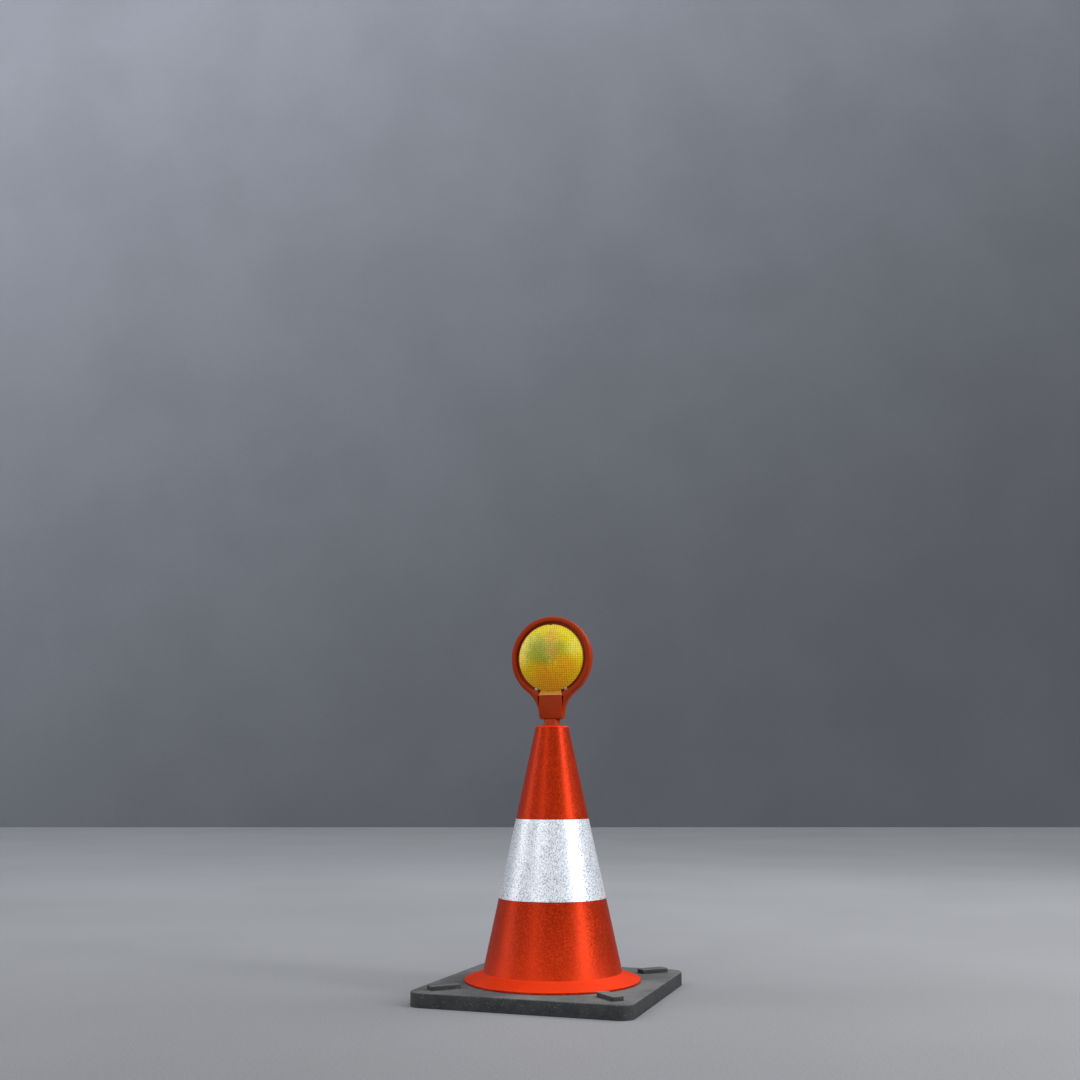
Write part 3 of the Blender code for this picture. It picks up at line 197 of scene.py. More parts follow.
class Effects:
    """Surface effects that several finishes share, each a node group that is built once."""

    def __init__(self) -> None:
        """Builds every group."""
        self.grain = self._grain()
        self.wear = self._wear()
        self.dust = self._dust()
        self.wrap = self._wrap()
        self.prisms = self._prisms()
        self.rows = self._rows()

    def _grain(self) -> bpy.types.NodeTree:
        """Fine moulded texture with slow mottling of the tone.

        Returns:
            The group: Height for a bump, Tone around 1 for the colour's brightness.
        """
        inputs = {"Vector": ("Vector", None), "Scale": ("Float", 900.0), "Mottle": ("Float", 0.1)}
        group, wire, take, end = new_group("Moulded grain", inputs, {"Height": "Float", "Tone": "Float"})
        fine = wire.noise(take["Vector"], take["Scale"], 2.0, 0.6)
        coarse = wire.noise(take["Vector"], wire.math("MULTIPLY", take["Scale"], 0.31), 1.0)
        fine_share = wire.math("MULTIPLY", fine, 0.65)
        wire.feed(end.inputs["Height"], wire.math("ADD", fine_share, wire.math("MULTIPLY", coarse, 0.35)))
        slow = wire.spread(wire.noise(take["Vector"], 38.0, 4.0, 0.6), 0.3, 0.7, -1.0, 1.0)
        wire.feed(end.inputs["Tone"], wire.math("MULTIPLY_ADD", slow, take["Mottle"], 1.0))
        return group

    def _wear(self) -> bpy.types.NodeTree:
        """Rubbed edges: convex edges, broken up by noise.

        Returns:
            The group: Mask, 1 where the edge is rubbed.
        """
        inputs = {"Vector": ("Vector", None), "Amount": ("Float", 0.5), "Scale": ("Float", 160.0)}
        group, wire, take, end = new_group("Edge wear", inputs, {"Mask": "Float"})
        sharp = wire.spread(wire.node("NewGeometry").outputs["Pointiness"], 0.515, 0.60)
        broken = wire.spread(wire.noise(take["Vector"], take["Scale"], 4.0, 0.65), 0.35, 0.62)
        mask = wire.math("MULTIPLY", wire.math("MULTIPLY", sharp, broken), take["Amount"], clamp=True)
        wire.feed(end.inputs["Mask"], mask)
        return group

    def _dust(self) -> bpy.types.NodeTree:
        """Dust that settles on faces that look up and gathers in patches.

        Returns:
            The group: Colour with the dust laid over it, and Mask.
        """
        inputs = {
            "Vector": ("Vector", None),
            "Colour": ("Color", (0.5, 0.5, 0.5, 1.0)),
            "Dust": ("Color", (0.36, 0.36, 0.35, 1.0)),
            "Amount": ("Float", 0.3),
            "Scale": ("Float", 14.0),
        }
        group, wire, take, end = new_group("Settled dust", inputs, {"Colour": "Color", "Mask": "Float"})
        up = wire.node("SeparateXYZ", {0: wire.node("NewGeometry").outputs["Normal"]}).outputs[2]
        level = wire.spread(up, 0.15, 0.95)
        patches = wire.spread(wire.noise(take["Vector"], take["Scale"], 6.0, 0.62), 0.32, 0.72, 0.35, 1.0)
        specks = wire.spread(wire.noise(take["Vector"], 1500.0, 1.0), 0.42, 0.7, 0.55, 1.0)
        settled = wire.math("MULTIPLY", level, patches)
        share = wire.math("MULTIPLY", settled, wire.math("MULTIPLY", specks, take["Amount"]))
        wire.feed(end.inputs["Mask"], share)
        wire.feed(end.inputs["Colour"], wire.blend(share, take["Colour"], take["Dust"]))
        return group

    def _wrap(self) -> bpy.types.NodeTree:
        """Unrolls a cone about the Z axis flat, as a sheet that was wrapped round it.

        Returns:
            The group: Flat, the place on the flat sheet in metres. The seam is at the back.
        """
        inputs = {"Vector": ("Vector", None), "Apex": ("Float", 1.0), "Share": ("Float", 0.2)}
        group, wire, take, end = new_group("Unrolled cone", inputs, {"Flat": "Vector"})
        x, y, z = wire.node("SeparateXYZ", {0: take["Vector"]}).outputs
        turn = wire.math("MULTIPLY", wire.math("ARCTAN2", x, wire.math("MULTIPLY", y, -1.0)), take["Share"])
        drop = wire.math("SUBTRACT", take["Apex"], z)
        from_apex = wire.node("CombineXYZ", {0: x, 1: y, 2: drop}).outputs[0]
        slant = wire.vector("LENGTH", from_apex, out="Value")
        flat_x = wire.math("MULTIPLY", slant, wire.math("SINE", turn))
        flat_y = wire.math("MULTIPLY", slant, wire.math("COSINE", turn))
        wire.feed(end.inputs["Flat"], wire.node("CombineXYZ", {0: flat_x, 1: flat_y, 2: 0.0}).outputs[0])
        return group

    def _prisms(self) -> bpy.types.NodeTree:
        """Diamond cells of a prismatic surface, each tipped its own way.

        Returns:
            The group: Height for a bump, Cell, a random value for each cell, and Rim, 1 along the cell edges.
        """
        inputs = {"Vector": ("Vector", None), "Size": ("Float", 0.002), "Tip": ("Float", 1.0)}
        outputs = {"Height": "Float", "Cell": "Float", "Rim": "Float"}
        group, wire, take, end = new_group("Prism cells", inputs, outputs)
        eighth = (0.0, 0.0, math.radians(45))
        turned = wire.node("Mapping", {"Vector": take["Vector"], "Rotation": eighth}).outputs[0]
        inverse = wire.math("DIVIDE", 1.0, take["Size"])
        scaled = wire.node("VectorMath", {0: turned, 3: inverse}, operation="SCALE").outputs[0]
        lattice = {"Vector": scaled, "Scale": 1.0, "Randomness": 0.0}
        cells = wire.node("TexVoronoi", lattice, voronoi_dimensions="2D")
        rims = wire.node("TexVoronoi", lattice, voronoi_dimensions="2D", feature="DISTANCE_TO_EDGE")
        tilt = wire.vector("SUBTRACT", cells.outputs["Color"], (0.5, 0.5, 0.5))
        inside = wire.vector("SUBTRACT", scaled, cells.outputs["Position"])
        lean = wire.math("MULTIPLY", wire.vector("DOT_PRODUCT", tilt, inside, out="Value"), take["Tip"])
        peak = wire.math("SUBTRACT", 0.7, cells.outputs["Distance"])
        wire.feed(end.inputs["Height"], wire.math("MULTIPLY_ADD", peak, 0.35, lean))
        wire.feed(end.inputs["Cell"], wire.node("SeparateColor", {0: cells.outputs["Color"]}).outputs[0])
        wire.feed(end.inputs["Rim"], wire.spread(rims.outputs["Distance"], 0.02, 0.10, 1.0, 0.0))
        return group

    def _rows(self) -> bpy.types.NodeTree:
        """Rows of small pyramids on an upright face, as the prisms of a lens.

        Returns:
            The group: Height, from 0 in the valleys to 1 on the peaks.
        """
        inputs = {"Vector": ("Vector", None), "Across": ("Float", 0.0044), "Up": ("Float", 0.0044)}
        group, wire, take, end = new_group("Prism rows", inputs, {"Height": "Float"})
        x, _, z = wire.node("SeparateXYZ", {0: take["Vector"]}).outputs
        slopes = []
        for place, pitch in ((x, take["Across"]), (z, take["Up"])):
            half = wire.math("MULTIPLY", pitch, 0.5)
            slopes.append(wire.math("DIVIDE", wire.math("PINGPONG", place, half), half))
        wire.feed(end.inputs["Height"], wire.math("MINIMUM", *slopes))
        return group


# ----------------------------------------------------------------------------------------------------------
# Finishes


@dataclass(frozen=True)
class Finish:
    """A material with a Principled shader, and what every finish shares."""

    name: str
    colour: Colour
    roughness: float = 0.4
    specular: float = 0.25

    def build(self, effects: Effects) -> bpy.types.Material:
        """Makes the material.

        Args:
            effects: The shared effect groups.

        Returns:
            The material.
        """
        made = bpy.data.materials.new(self.name)
        made.use_nodes = True
        made.diffuse_color = opaque(self.colour)
        wire = Wiring(made.node_tree)
        shader = made.node_tree.nodes["Principled BSDF"]
        shader.inputs["Specular IOR Level"].default_value = self.specular
        self.dress(wire, shader, effects)
        return made

    def dress(self, wire: Wiring, shader: bpy.types.Node, effects: Effects) -> None:
        """Feeds the shader. Each finish does it in its own way."""
        raise NotImplementedError

    def use(self, wire: Wiring, group: bpy.types.NodeTree, feeds: dict) -> bpy.types.NodeOutputs:
        """Places an effect group and returns its outputs."""
        made = wire.node("Group", node_tree=group)
        for key, value in feeds.items():
            wire.feed(made.inputs[key], value)
        return made.outputs

    def toned(self, wire: Wiring, colour: Socket | Sequence[float], tone: Value) -> Socket:
        """The colour with its brightness multiplied by a tone."""
        return wire.node("HueSaturation", {"Color": colour, "Value": tone}).outputs[0]

    def bump(
        self,
        wire: Wiring,
        shader: bpy.types.Node,
        height: Socket,
        strength: float,
        depth: float,
    ) -> None:
        """Adds a Bump that feeds the shader's normal."""
        feeds = {"Height": height, "Strength": strength, "Distance": depth}
        wire.feed(shader.inputs["Normal"], wire.node("Bump", feeds).outputs[0])


@dataclass(frozen=True)
class MouldedPlastic(Finish):
    """Injection moulded plastic with a fine grain, mottling, pale rubbed edges and some dust."""

    grain: float = 1100.0
    relief: float = 0.00004
    mottle: float = 0.06
    wear: float = 0.35
    worn: Colour = (0.60, 0.10, 0.03)
    dust: float = 0.10
    coat: float = 0.0

    def dress(self, wire: Wiring, shader: bpy.types.Node, effects: Effects) -> None:
        """Feeds colour, roughness and bump."""
        place = wire.place()
        grain = self.use(wire, effects.grain, {"Vector": place, "Scale": self.grain, "Mottle": self.mottle})
        toned = self.toned(wire, opaque(self.colour), grain["Tone"])
        rubbed = self.use(wire, effects.wear, {"Vector": place, "Amount": self.wear})["Mask"]
        edged = wire.blend(rubbed, toned, opaque(self.worn))
        dusty = self.use(wire, effects.dust, {"Vector": place, "Colour": edged, "Amount": self.dust})
        wire.feed(shader.inputs["Base Color"], dusty["Colour"])
        smooth_end, rough_end = self.roughness - 0.05, self.roughness + 0.07
        patches = wire.spread(wire.noise(place, 55.0, 5.0, 0.6), 0.3, 0.7, smooth_end, rough_end)
        wire.feed(shader.inputs["Roughness"], wire.math("MULTIPLY_ADD", dusty["Mask"], 0.5, patches))
        shader.inputs["Coat Weight"].default_value = self.coat
        shader.inputs["Coat Roughness"].default_value = 0.22
        self.bump(wire, shader, grain["Height"], 0.5, self.relief)


@dataclass(frozen=True)
class PrismFilm(Finish):
    """Sheet wrapped round the cone and covered with tiny prisms, with glints and shade painted into its colour
    cell by cell.
    """

    apex: float = 0.65
    share: float = 0.213
    cell: float = 0.0016
    relief: float = 0.0003
    tip: float = 1.0
    contrast: float = 0.3
    # Colour of the painted shade in dark cells and along the cell rims; the next is the colour of the painted
    # glints in bright cells.
    shade: Colour = (0.16, 0.005, 0.0005)
    painted_glint: Colour = (0.90, 0.08, 0.01)
    dust: float = 0.12
    metallic: float = 0.0
    # How much brighter the faces that slope up are painted: a painted highlight.
    slope_highlight: float = 0.0

    def dress(self, wire: Wiring, shader: bpy.types.Node, effects: Effects) -> None:
        """Feeds colour, roughness and bump."""
        place = wire.place()
        flat = self.use(wire, effects.wrap, {"Vector": place, "Apex": self.apex, "Share": self.share})["Flat"]
        cells = self.use(wire, effects.prisms, {"Vector": flat, "Size": self.cell, "Tip": self.tip})
        slow = wire.spread(wire.noise(place, 22.0, 5.0, 0.6), 0.3, 0.7, 0.93, 1.06)
        up = wire.node("SeparateXYZ", {0: wire.node("NewGeometry").outputs["Normal"]}).outputs[2]
        # Painted highlight: faces that slope up, such as the flange, are painted brighter.
        slope = wire.math("MULTIPLY", wire.spread(up, 0.3, 0.6), wire.spread(up, 0.85, 0.98, 1.0, 0.0))
        painted_light_tone = wire.math("MULTIPLY_ADD", slope, self.slope_highlight, 1.0)
        strength = wire.spread(up, 0.3, 0.6, self.contrast, 0.0)
        body = self.toned(wire, opaque(self.colour), wire.math("MULTIPLY", slow, painted_light_tone))
        # Painted glints and shade: bright cells take the glints' colour, dark cells and the cell rims the shade
        # colour.
        dark = wire.math("MULTIPLY", wire.spread(cells["Cell"], 0.5, 0.0), strength)
        light = wire.math("MULTIPLY", wire.spread(cells["Cell"], 0.6, 1.0), strength)
        shaded = wire.blend(dark, body, opaque(self.shade))
        lit = wire.blend(light, shaded, opaque(self.painted_glint))
        rim_shaded = wire.blend(wire.math("MULTIPLY", cells["Rim"], strength), lit, opaque(self.shade))
        dusty = self.use(wire, effects.dust, {"Vector": place, "Colour": rim_shaded, "Amount": self.dust})
        wire.feed(shader.inputs["Base Color"], dusty["Colour"])
        rough = wire.math("MULTIPLY_ADD", cells["Cell"], 0.14, self.roughness - 0.05)
        rough = wire.math("ADD", rough, wire.spread(up, 0.3, 0.6, 0.0, 0.3))
        wire.feed(shader.inputs["Roughness"], wire.math("MULTIPLY_ADD", dusty["Mask"], 0.6, rough))
        shader.inputs["Metallic"].default_value = self.metallic
        relief = wire.math("MULTIPLY", cells["Height"], wire.math("DIVIDE", strength, self.contrast))
        self.bump(wire, shader, relief, 0.6, self.relief)


@dataclass(frozen=True)
class RecycledRubber(Finish):
    """Matt pressed rubber with pale crumbs, dust on top and scuffed edges."""

    crumb: Colour = (0.16, 0.16, 0.155)
    dust: float = 0.42
    wear: float = 0.5

    def dress(self, wire: Wiring, shader: bpy.types.Node, effects: Effects) -> None:
        """Feeds colour, roughness and bump."""
        place = wire.place()
        grain = self.use(wire, effects.grain, {"Vector": place, "Scale": 620.0, "Mottle": 0.22})
        crumbs = wire.node("TexVoronoi", {"Vector": place, "Scale": 330.0, "Randomness": 1.0})
        pick = wire.node("SeparateColor", {0: crumbs.outputs["Color"]}).outputs[0]
        inside = wire.spread(crumbs.outputs["Distance"], 0.5, 0.2)
        pale = wire.math("MULTIPLY", wire.spread(pick, 0.74, 0.98), inside)
        toned = self.toned(wire, opaque(self.colour), grain["Tone"])
        flecked = wire.blend(wire.math("MULTIPLY", pale, 0.55), toned, opaque(self.crumb))
        rubbed = self.use(wire, effects.wear, {"Vector": place, "Amount": self.wear, "Scale": 90.0})["Mask"]
        edged = wire.blend(rubbed, flecked, opaque(self.crumb))
        settling = {"Vector": place, "Colour": edged, "Amount": self.dust, "Scale": 9.0}
        dusty = self.use(wire, effects.dust, settling)
        wire.feed(shader.inputs["Base Color"], dusty["Colour"])
        wire.feed(shader.inputs["Roughness"], wire.math("MULTIPLY_ADD", dusty["Mask"], 0.2, self.roughness))
        pits = wire.math("MULTIPLY_ADD", crumbs.outputs["Distance"], 0.4, grain["Height"])
        self.bump(wire, shader, pits, 0.7, 0.0004)


@dataclass(frozen=True)
class LensPatch:
    """A soft round patch of another colour painted in a lens, the pale ones as painted highlights: its place from
    the lens centre, radius and share.
    """

    x: float
    z: float
    radius: float
    colour: Colour
    share: float


@dataclass(frozen=True)
class AmberLens(Finish):
    """Clear coloured plastic with rows of prisms inside it, which emits a little light of its own colour as
    painted light, though it is no lamp.
    """

    deep: Colour = (0.62, 0.27, 0.001)
    # Strength of the painted light that the lens emits.
    painted_glow: float = 0.12
    transmission: float = 0.25
    height: float = 0.0
    reach: float = 0.0666
    relief: float = 0.0004
    foot: float = -1.0
    root: Colour = (0.46, 0.165, 0.0005)
    lens_patches: tuple[LensPatch, ...] = ()

    def dress(self, wire: Wiring, shader: bpy.types.Node, effects: Effects) -> None:
        """Feeds colour, roughness and bump."""
        place = wire.place()
        x, _, z = wire.node("SeparateXYZ", {0: place}).outputs
        up = wire.math("SUBTRACT", z, self.height)
        # Darker and more orange towards the bottom of the lens.
        low = wire.spread(up, -self.reach, self.reach * 0.35, 0.85, 0.0)
        colour = wire.blend(low, opaque(self.colour), opaque(self.deep))
        warp = wire.math("MULTIPLY_ADD", wire.noise(place, 90.0, 5.0, 0.7), 2.0, 0.0)
        # Soft round patches: the pale ones are painted highlights; the olive, green and orange ones tint the
        # amber.
        for stain in self.lens_patches:
            along = wire.math("SUBTRACT", x, stain.x)
            above = wire.math("SUBTRACT", up, stain.z)
            offset = wire.node("CombineXYZ", {0: along, 1: 0.0, 2: above}).outputs[0]
            away = wire.math("MULTIPLY", wire.vector("LENGTH", offset, out="Value"), warp)
            inside = wire.spread(away, stain.radius * 0.2, stain.radius, stain.share, 0.0)
            colour = wire.blend(inside, colour, opaque(stain.colour))
        solid = wire.spread(up, self.foot, self.foot + 0.0015, 1.0, 0.0)
        rows = self.use(wire, effects.rows, {"Vector": place})["Height"]
        rows = wire.math("MAXIMUM", rows, wire.math("MULTIPLY", solid, 0.55))
        colour = wire.blend(wire.math("MULTIPLY", solid, 0.8), colour, opaque(self.root))
        sparkle = wire.spread(wire.noise(place, 420.0, 2.0, 0.7), 0.35, 0.65, 0.84, 1.12)
        # Painted shade and light of the prisms: the valleys between the rows are painted darker and the peaks
        # lighter, times a random tone.
        tone = wire.math("MULTIPLY", wire.spread(rows, 0.0, 0.8, 0.68, 1.08), sparkle)
        toned = self.toned(wire, colour, tone)
        wire.feed(shader.inputs["Base Color"], toned)
        # Painted light: the lens emits its own colour though it is no lamp.
        wire.feed(shader.inputs["Emission Color"], toned)
        shader.inputs["Emission Strength"].default_value = self.painted_glow
        cloud = wire.noise(place, 70.0, 4.0, 0.6)
        haze = wire.spread(cloud, 0.35, 0.7, self.roughness, self.roughness + 0.06)
        wire.feed(shader.inputs["Roughness"], haze)
        shader.inputs["Transmission Weight"].default_value = self.transmission
        shader.inputs["IOR"].default_value = 1.49
        self.bump(wire, shader, rows, 0.4, self.relief)


@dataclass(frozen=True)
class BareMetal(Finish):
    """Turned or drawn metal with fine scratches and slow tarnish."""

    tarnish: Colour = (0.35, 0.33, 0.30)
    scratch: float = 1800.0

    def dress(self, wire: Wiring, shader: bpy.types.Node, effects: Effects) -> None:
        """Feeds colour, roughness and bump."""
        place = wire.place()
        stretched = wire.node("Mapping", {"Vector": place, "Scale": (1.0, 1.0, 0.12)}).outputs[0]
        lines = wire.noise(stretched, self.scratch, 2.0, 0.6)
        stain = wire.spread(wire.noise(place, 240.0, 4.0, 0.6), 0.45, 0.75)
        dull = wire.math("MULTIPLY", stain, 0.5)
        wire.feed(shader.inputs["Base Color"], wire.blend(dull, opaque(self.colour), opaque(self.tarnish)))
        wire.feed(shader.inputs["Roughness"], wire.math("MULTIPLY_ADD", lines, 0.16, self.roughness - 0.06))
        shader.inputs["Metallic"].default_value = 1.0
        self.bump(wire, shader, lines, 0.3, 0.00002)


@dataclass(frozen=True)
class SolderedBoard(Finish):
    """Green solder mask over faint copper tracks."""

    track: Colour = (0.12, 0.34, 0.10)

    def dress(self, wire: Wiring, shader: bpy.types.Node, effects: Effects) -> None:
        """Feeds colour, roughness and bump."""
        place = wire.place()
        quarter = (math.radians(90), 0.0, 0.0)
        upright = wire.node("Mapping", {"Vector": place, "Rotation": quarter}).outputs[0]
        black, white = (0, 0, 0, 1), (1, 1, 1, 1)
        tracks = {
            "Vector": upright,
            "Scale": 90.0,
            "Mortar Size": 0.03,
            "Color1": black,
            "Color2": black,
            "Mortar": white,
        }
        brick = wire.node("TexBrick", tracks).outputs[0]
        slow = wire.spread(wire.noise(place, 60.0, 3.0), 0.3, 0.7, 0.85, 1.15)
        base = self.toned(wire, opaque(self.colour), slow)
        lined = wire.blend(wire.math("MULTIPLY", brick, 0.7), base, opaque(self.track))
        wire.feed(shader.inputs["Base Color"], lined)
        wire.feed(shader.inputs["Roughness"], wire.math("MULTIPLY_ADD", slow, 0.1, self.roughness - 0.1))
        self.bump(wire, shader, brick, 0.4, 0.00005)


OLIVE = (0.22, 0.26, 0.01)
LEAF = (0.22, 0.40, 0.01)
ORANGE = (0.80, 0.24, 0.004)
# Colour of the painted highlights in the lens.
PAINTED_HIGHLIGHT = (0.95, 0.92, 0.22)

# Patches in the lens: the pale ones are painted highlights, the rest tint it olive, green and orange.
LENS_PATCHES = (
    LensPatch(-0.026, 0.020, 0.040, PAINTED_HIGHLIGHT, 0.45),
    LensPatch(-0.020, 0.012, 0.046, OLIVE, 0.70),
    LensPatch(0.018, 0.016, 0.034, OLIVE, 0.55),
    LensPatch(-0.008, -0.002, 0.022, LEAF, 0.65),
    LensPatch(0.006, 0.040, 0.022, ORANGE, 0.35),
    LensPatch(0.006, 0.010, 0.020, ORANGE, 0.40),
    LensPatch(0.034, -0.016, 0.034, ORANGE, 0.50),
    LensPatch(-0.016, -0.026, 0.034, ORANGE, 0.40),
    LensPatch(0.006, -0.046, 0.040, ORANGE, 0.45),
    LensPatch(0.052, 0.020, 0.026, PAINTED_HIGHLIGHT, 0.30),
)

BLEACHED = (0.50, 0.07, 0.01)

FINISHES: dict[str, Finish] = {
    finish.name: finish
    for finish in (
        PrismFilm(
            "cone_plastic",
            (0.37, 0.0185, 0.0003),
            0.34,
            0.10,
            dust=0.015,
            metallic=0.5,
            # painted highlight on the cone's upward slopes
            slope_highlight=0.75,
        ),
        PrismFilm(
            "sleeve_film",
            (0.84, 0.87, 0.92),
            0.32,
            0.5,
            contrast=0.8,
            relief=0.0005,
            # painted shade and painted glints of the sleeve's prism cells
            shade=(0.22, 0.24, 0.28),
            painted_glint=(0.97, 0.98, 1.0),
            dust=0.03,
            metallic=0.4,
        ),
        RecycledRubber("base_rubber", (0.027, 0.028, 0.028), 0.72, 0.30),
        MouldedPlastic("lock_ring_plastic", (0.02, 0.02, 0.02), 0.55, worn=(0.12, 0.12, 0.12)),
        MouldedPlastic("collar_plastic", (0.27, 0.0200, 0.0004), 0.45, 0.10, worn=BLEACHED, dust=0.06),
        BareMetal("spring_steel", (0.56, 0.56, 0.55), 0.30),
        MouldedPlastic("housing_plastic", (0.27, 0.0215, 0.0004), 0.38, 0.10, worn=BLEACHED, dust=0.06),
        AmberLens(
            "lens_amber",
            (0.84, 0.68, 0.006),
            0.20,
            0.18,
            height=LAMP_HEIGHT,
            foot=-0.0655,
            lens_patches=LENS_PATCHES,
        ),
        MouldedPlastic("gasket_rubber", (0.018, 0.018, 0.018), 0.7, worn=(0.06, 0.06, 0.06), dust=0.2),
        SolderedBoard("board_green", (0.02, 0.14, 0.04), 0.35),
        BareMetal("reflector_metal", (0.86, 0.85, 0.82), 0.10, tarnish=(0.7, 0.68, 0.62)),
        AmberLens(
            "led_clear",
            (0.95, 0.70, 0.30),
            0.08,
            0.5,
            transmission=0.7,
            height=LAMP_HEIGHT,
            relief=0.0,
        ),
        MouldedPlastic("chip_black", (0.015, 0.015, 0.016), 0.5, worn=(0.08, 0.08, 0.08), dust=0.15),
        MouldedPlastic("capacitor_sleeve", (0.02, 0.04, 0.16), 0.3, worn=(0.2, 0.25, 0.4)),
        MouldedPlastic("cell_wrap", (0.10, 0.12, 0.15), 0.28, worn=(0.4, 0.4, 0.4), coat=0.4),
        BareMetal("contact_brass", (0.70, 0.52, 0.24), 0.28, tarnish=(0.35, 0.22, 0.09)),
        MouldedPlastic("lead_red", (0.42, 0.01, 0.01), 0.4, worn=(0.6, 0.1, 0.1)),
        MouldedPlastic("lead_black", (0.015, 0.015, 0.015), 0.4, worn=(0.1, 0.1, 0.1)),
        BareMetal("screw_steel", (0.34, 0.33, 0.32), 0.38),
    )
}


class Dresser:
    """Builds each finish once, and hands pieces over to the frame."""

    def __init__(self) -> None:
        """Reads the record's bodies and slots."""
        record = frame["record"]
        self.effects = Effects()
        self.slots = {part["node"]: part["material_slot"] for part in record["subparts"]}
        bodies = record["behaviour"]["bodies"]
        self.bodies = {node: body for body, nodes in bodies.items() for node in nodes}
        self.built: dict[str, bpy.types.Material] = {}

    def material(self, slot: str) -> bpy.types.Material:
        """The finish of a slot, built when it is first asked for."""
        if slot not in self.built:
            self.built[slot] = FINISHES[slot].build(self.effects)
        return self.built[slot]

    def put(self, piece: bpy.types.Object, node: str) -> bpy.types.Object:
        """Stands a finished piece in for a CAD node.

        Args:
            piece: The finished mesh, in place.
            node: The node that it replaces, and whose body and slot it takes.

        Returns:
            The piece.
        """
        slot = self.slots[node]
        piece.data.materials.clear()
        piece.data.materials.append(self.material(slot))
        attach(piece, self.bodies[node])
        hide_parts(node)
        LOG.info("%s stands for %s, %d faces", piece.name, node, len(piece.data.polygons))
        return piece

    def dress_kept(self) -> None:
        """Gives every CAD node that is still shown its finish."""
        for name, node in frame["nodes"].items():
            if not node.hide_render:
                node.data.materials.clear()
                node.data.materials.append(self.material(self.slots[name]))
                LOG.info("%s kept from the frame", name)


# ----------------------------------------------------------------------------------------------------------
# Modelling by operators


def clear_selection() -> None:
    """Leaves edit mode and selects nothing."""
    if bpy.context.mode != "OBJECT":
        bpy.ops.object.mode_set(mode="OBJECT")
    bpy.ops.object.select_all(action="DESELECT")


def work_on(piece: bpy.types.Object) -> None:
    """Makes the piece the only selected and active one."""
    clear_selection()
    piece.select_set(True)
    bpy.context.view_layer.objects.active = piece


@contextmanager
def editing(piece: bpy.types.Object, kind: str = "VERT") -> Iterator[None]:
    """Edit mode on the piece with everything selected.

    Args:
        piece: The piece.
        kind: VERT, EDGE or FACE.
    """
    work_on(piece)
    bpy.ops.object.mode_set(mode="EDIT")
    bpy.ops.mesh.select_mode(type=kind)
    bpy.ops.mesh.select_all(action="SELECT")
    yield
    bpy.ops.object.mode_set(mode="OBJECT")


def pick_edges(piece: bpy.types.Object, test: Callable[[Vector, Vector], bool]) -> None:
    """In edit mode, selects the edges whose two ends pass the test."""
    mesh = bmesh.from_edit_mesh(piece.data)
    bpy.ops.mesh.select_all(action="DESELECT")
    for edge in mesh.edges:
        if test(*(vert.co for vert in edge.verts)):
            edge.select_set(True)
    bmesh.update_edit_mesh(piece.data)


def tidy_mesh(piece: bpy.types.Object) -> None:
    """Merges doubled points and turns every face outwards."""
    with editing(piece):
        bpy.ops.mesh.remove_doubles(threshold=MERGE)
        bpy.ops.mesh.normals_make_consistent(inside=False)


def chain(name: str, points: Sequence[Vector]) -> bpy.types.Object:
    """A line of edges through the points, extruded from one vertex.

    Args:
        name: Name of the new piece.
        points: The places, in order.

    Returns:
        The piece.
    """
    clear_selection()
    bpy.ops.mesh.primitive_plane_add(size=0.01, location=(0, 0, 0))
    piece = bpy.context.object
    piece.name = piece.data.name = name
    with editing(piece):
        bpy.ops.mesh.merge(type="CENTER")
        bpy.ops.transform.translate(value=points[0])
        for here, there in zip(points, points[1:]):
            bpy.ops.mesh.extrude_region_move(TRANSFORM_OT_translate={"value": there - here})
    return piece


def turned(name: str, profile: Sequence[Point], segments: Segments = Segments.MEDIUM) -> bpy.types.Object:
    """Spins a profile of (radius, height) points about the Z axis.

    Args:
        name: Name of the new piece.
        profile: The points, from axis to axis or round a closed section.
        segments: How finely it is turned.

    Returns:
        The piece, closed.
    """
    piece = chain(name, [Vector((radius, 0, height)) for radius, height in profile])
    with editing(piece):
        bpy.ops.mesh.spin(steps=segments.value, angle=math.tau, center=(0, 0, 0), axis=(0, 0, 1))
    tidy_mesh(piece)
    return piece


def slab(name: str, outline: Sequence[Point], low: float, high: float) -> bpy.types.Object:
    """A flat outline given a thickness.

    Args:
        name: Name of the new piece.
        outline: The points in x and y, without the first one repeated.
        low: Height of the underside.
        high: Height of the top.

    Returns:
        The piece.
    """
    points = [Vector((x, y, low)) for x, y in outline]
    piece = chain(name, [*points, points[0]])
    with editing(piece):
        bpy.ops.mesh.remove_doubles(threshold=MERGE)
        bpy.ops.mesh.edge_face_add()
        bpy.ops.mesh.extrude_region_move(TRANSFORM_OT_translate={"value": (0, 0, high - low)})
    tidy_mesh(piece)
    return piece


def block(name: str, low: Sequence[float], high: Sequence[float]) -> bpy.types.Object:
    """A box between two corners, as a start or a cutter."""
    (left, near, bottom), (right, far, top) = low, high
    return slab(name, [(left, near), (right, near), (right, far), (left, far)], bottom, top)


def drum(
    name: str,
    radius: float,
    low: float,
    high: float,
    segments: Segments = Segments.SMALL,
) -> bpy.types.Object:
    """A round bar about the Z axis, as a start or a cutter."""
    return turned(name, [(0, low), (radius, low), (radius, high), (0, high)], segments)


def bevel(
    piece: bpy.types.Object,
    test: Callable[[Vector, Vector], bool],
    width: float,
    steps: int = 3,
) -> None:
    """Rounds the edges whose two ends pass the test."""
    with editing(piece, "EDGE"):
        pick_edges(piece, test)
        bpy.ops.mesh.bevel(offset=width, segments=steps, profile=0.5, affect="EDGES", clamp_overlap=True)


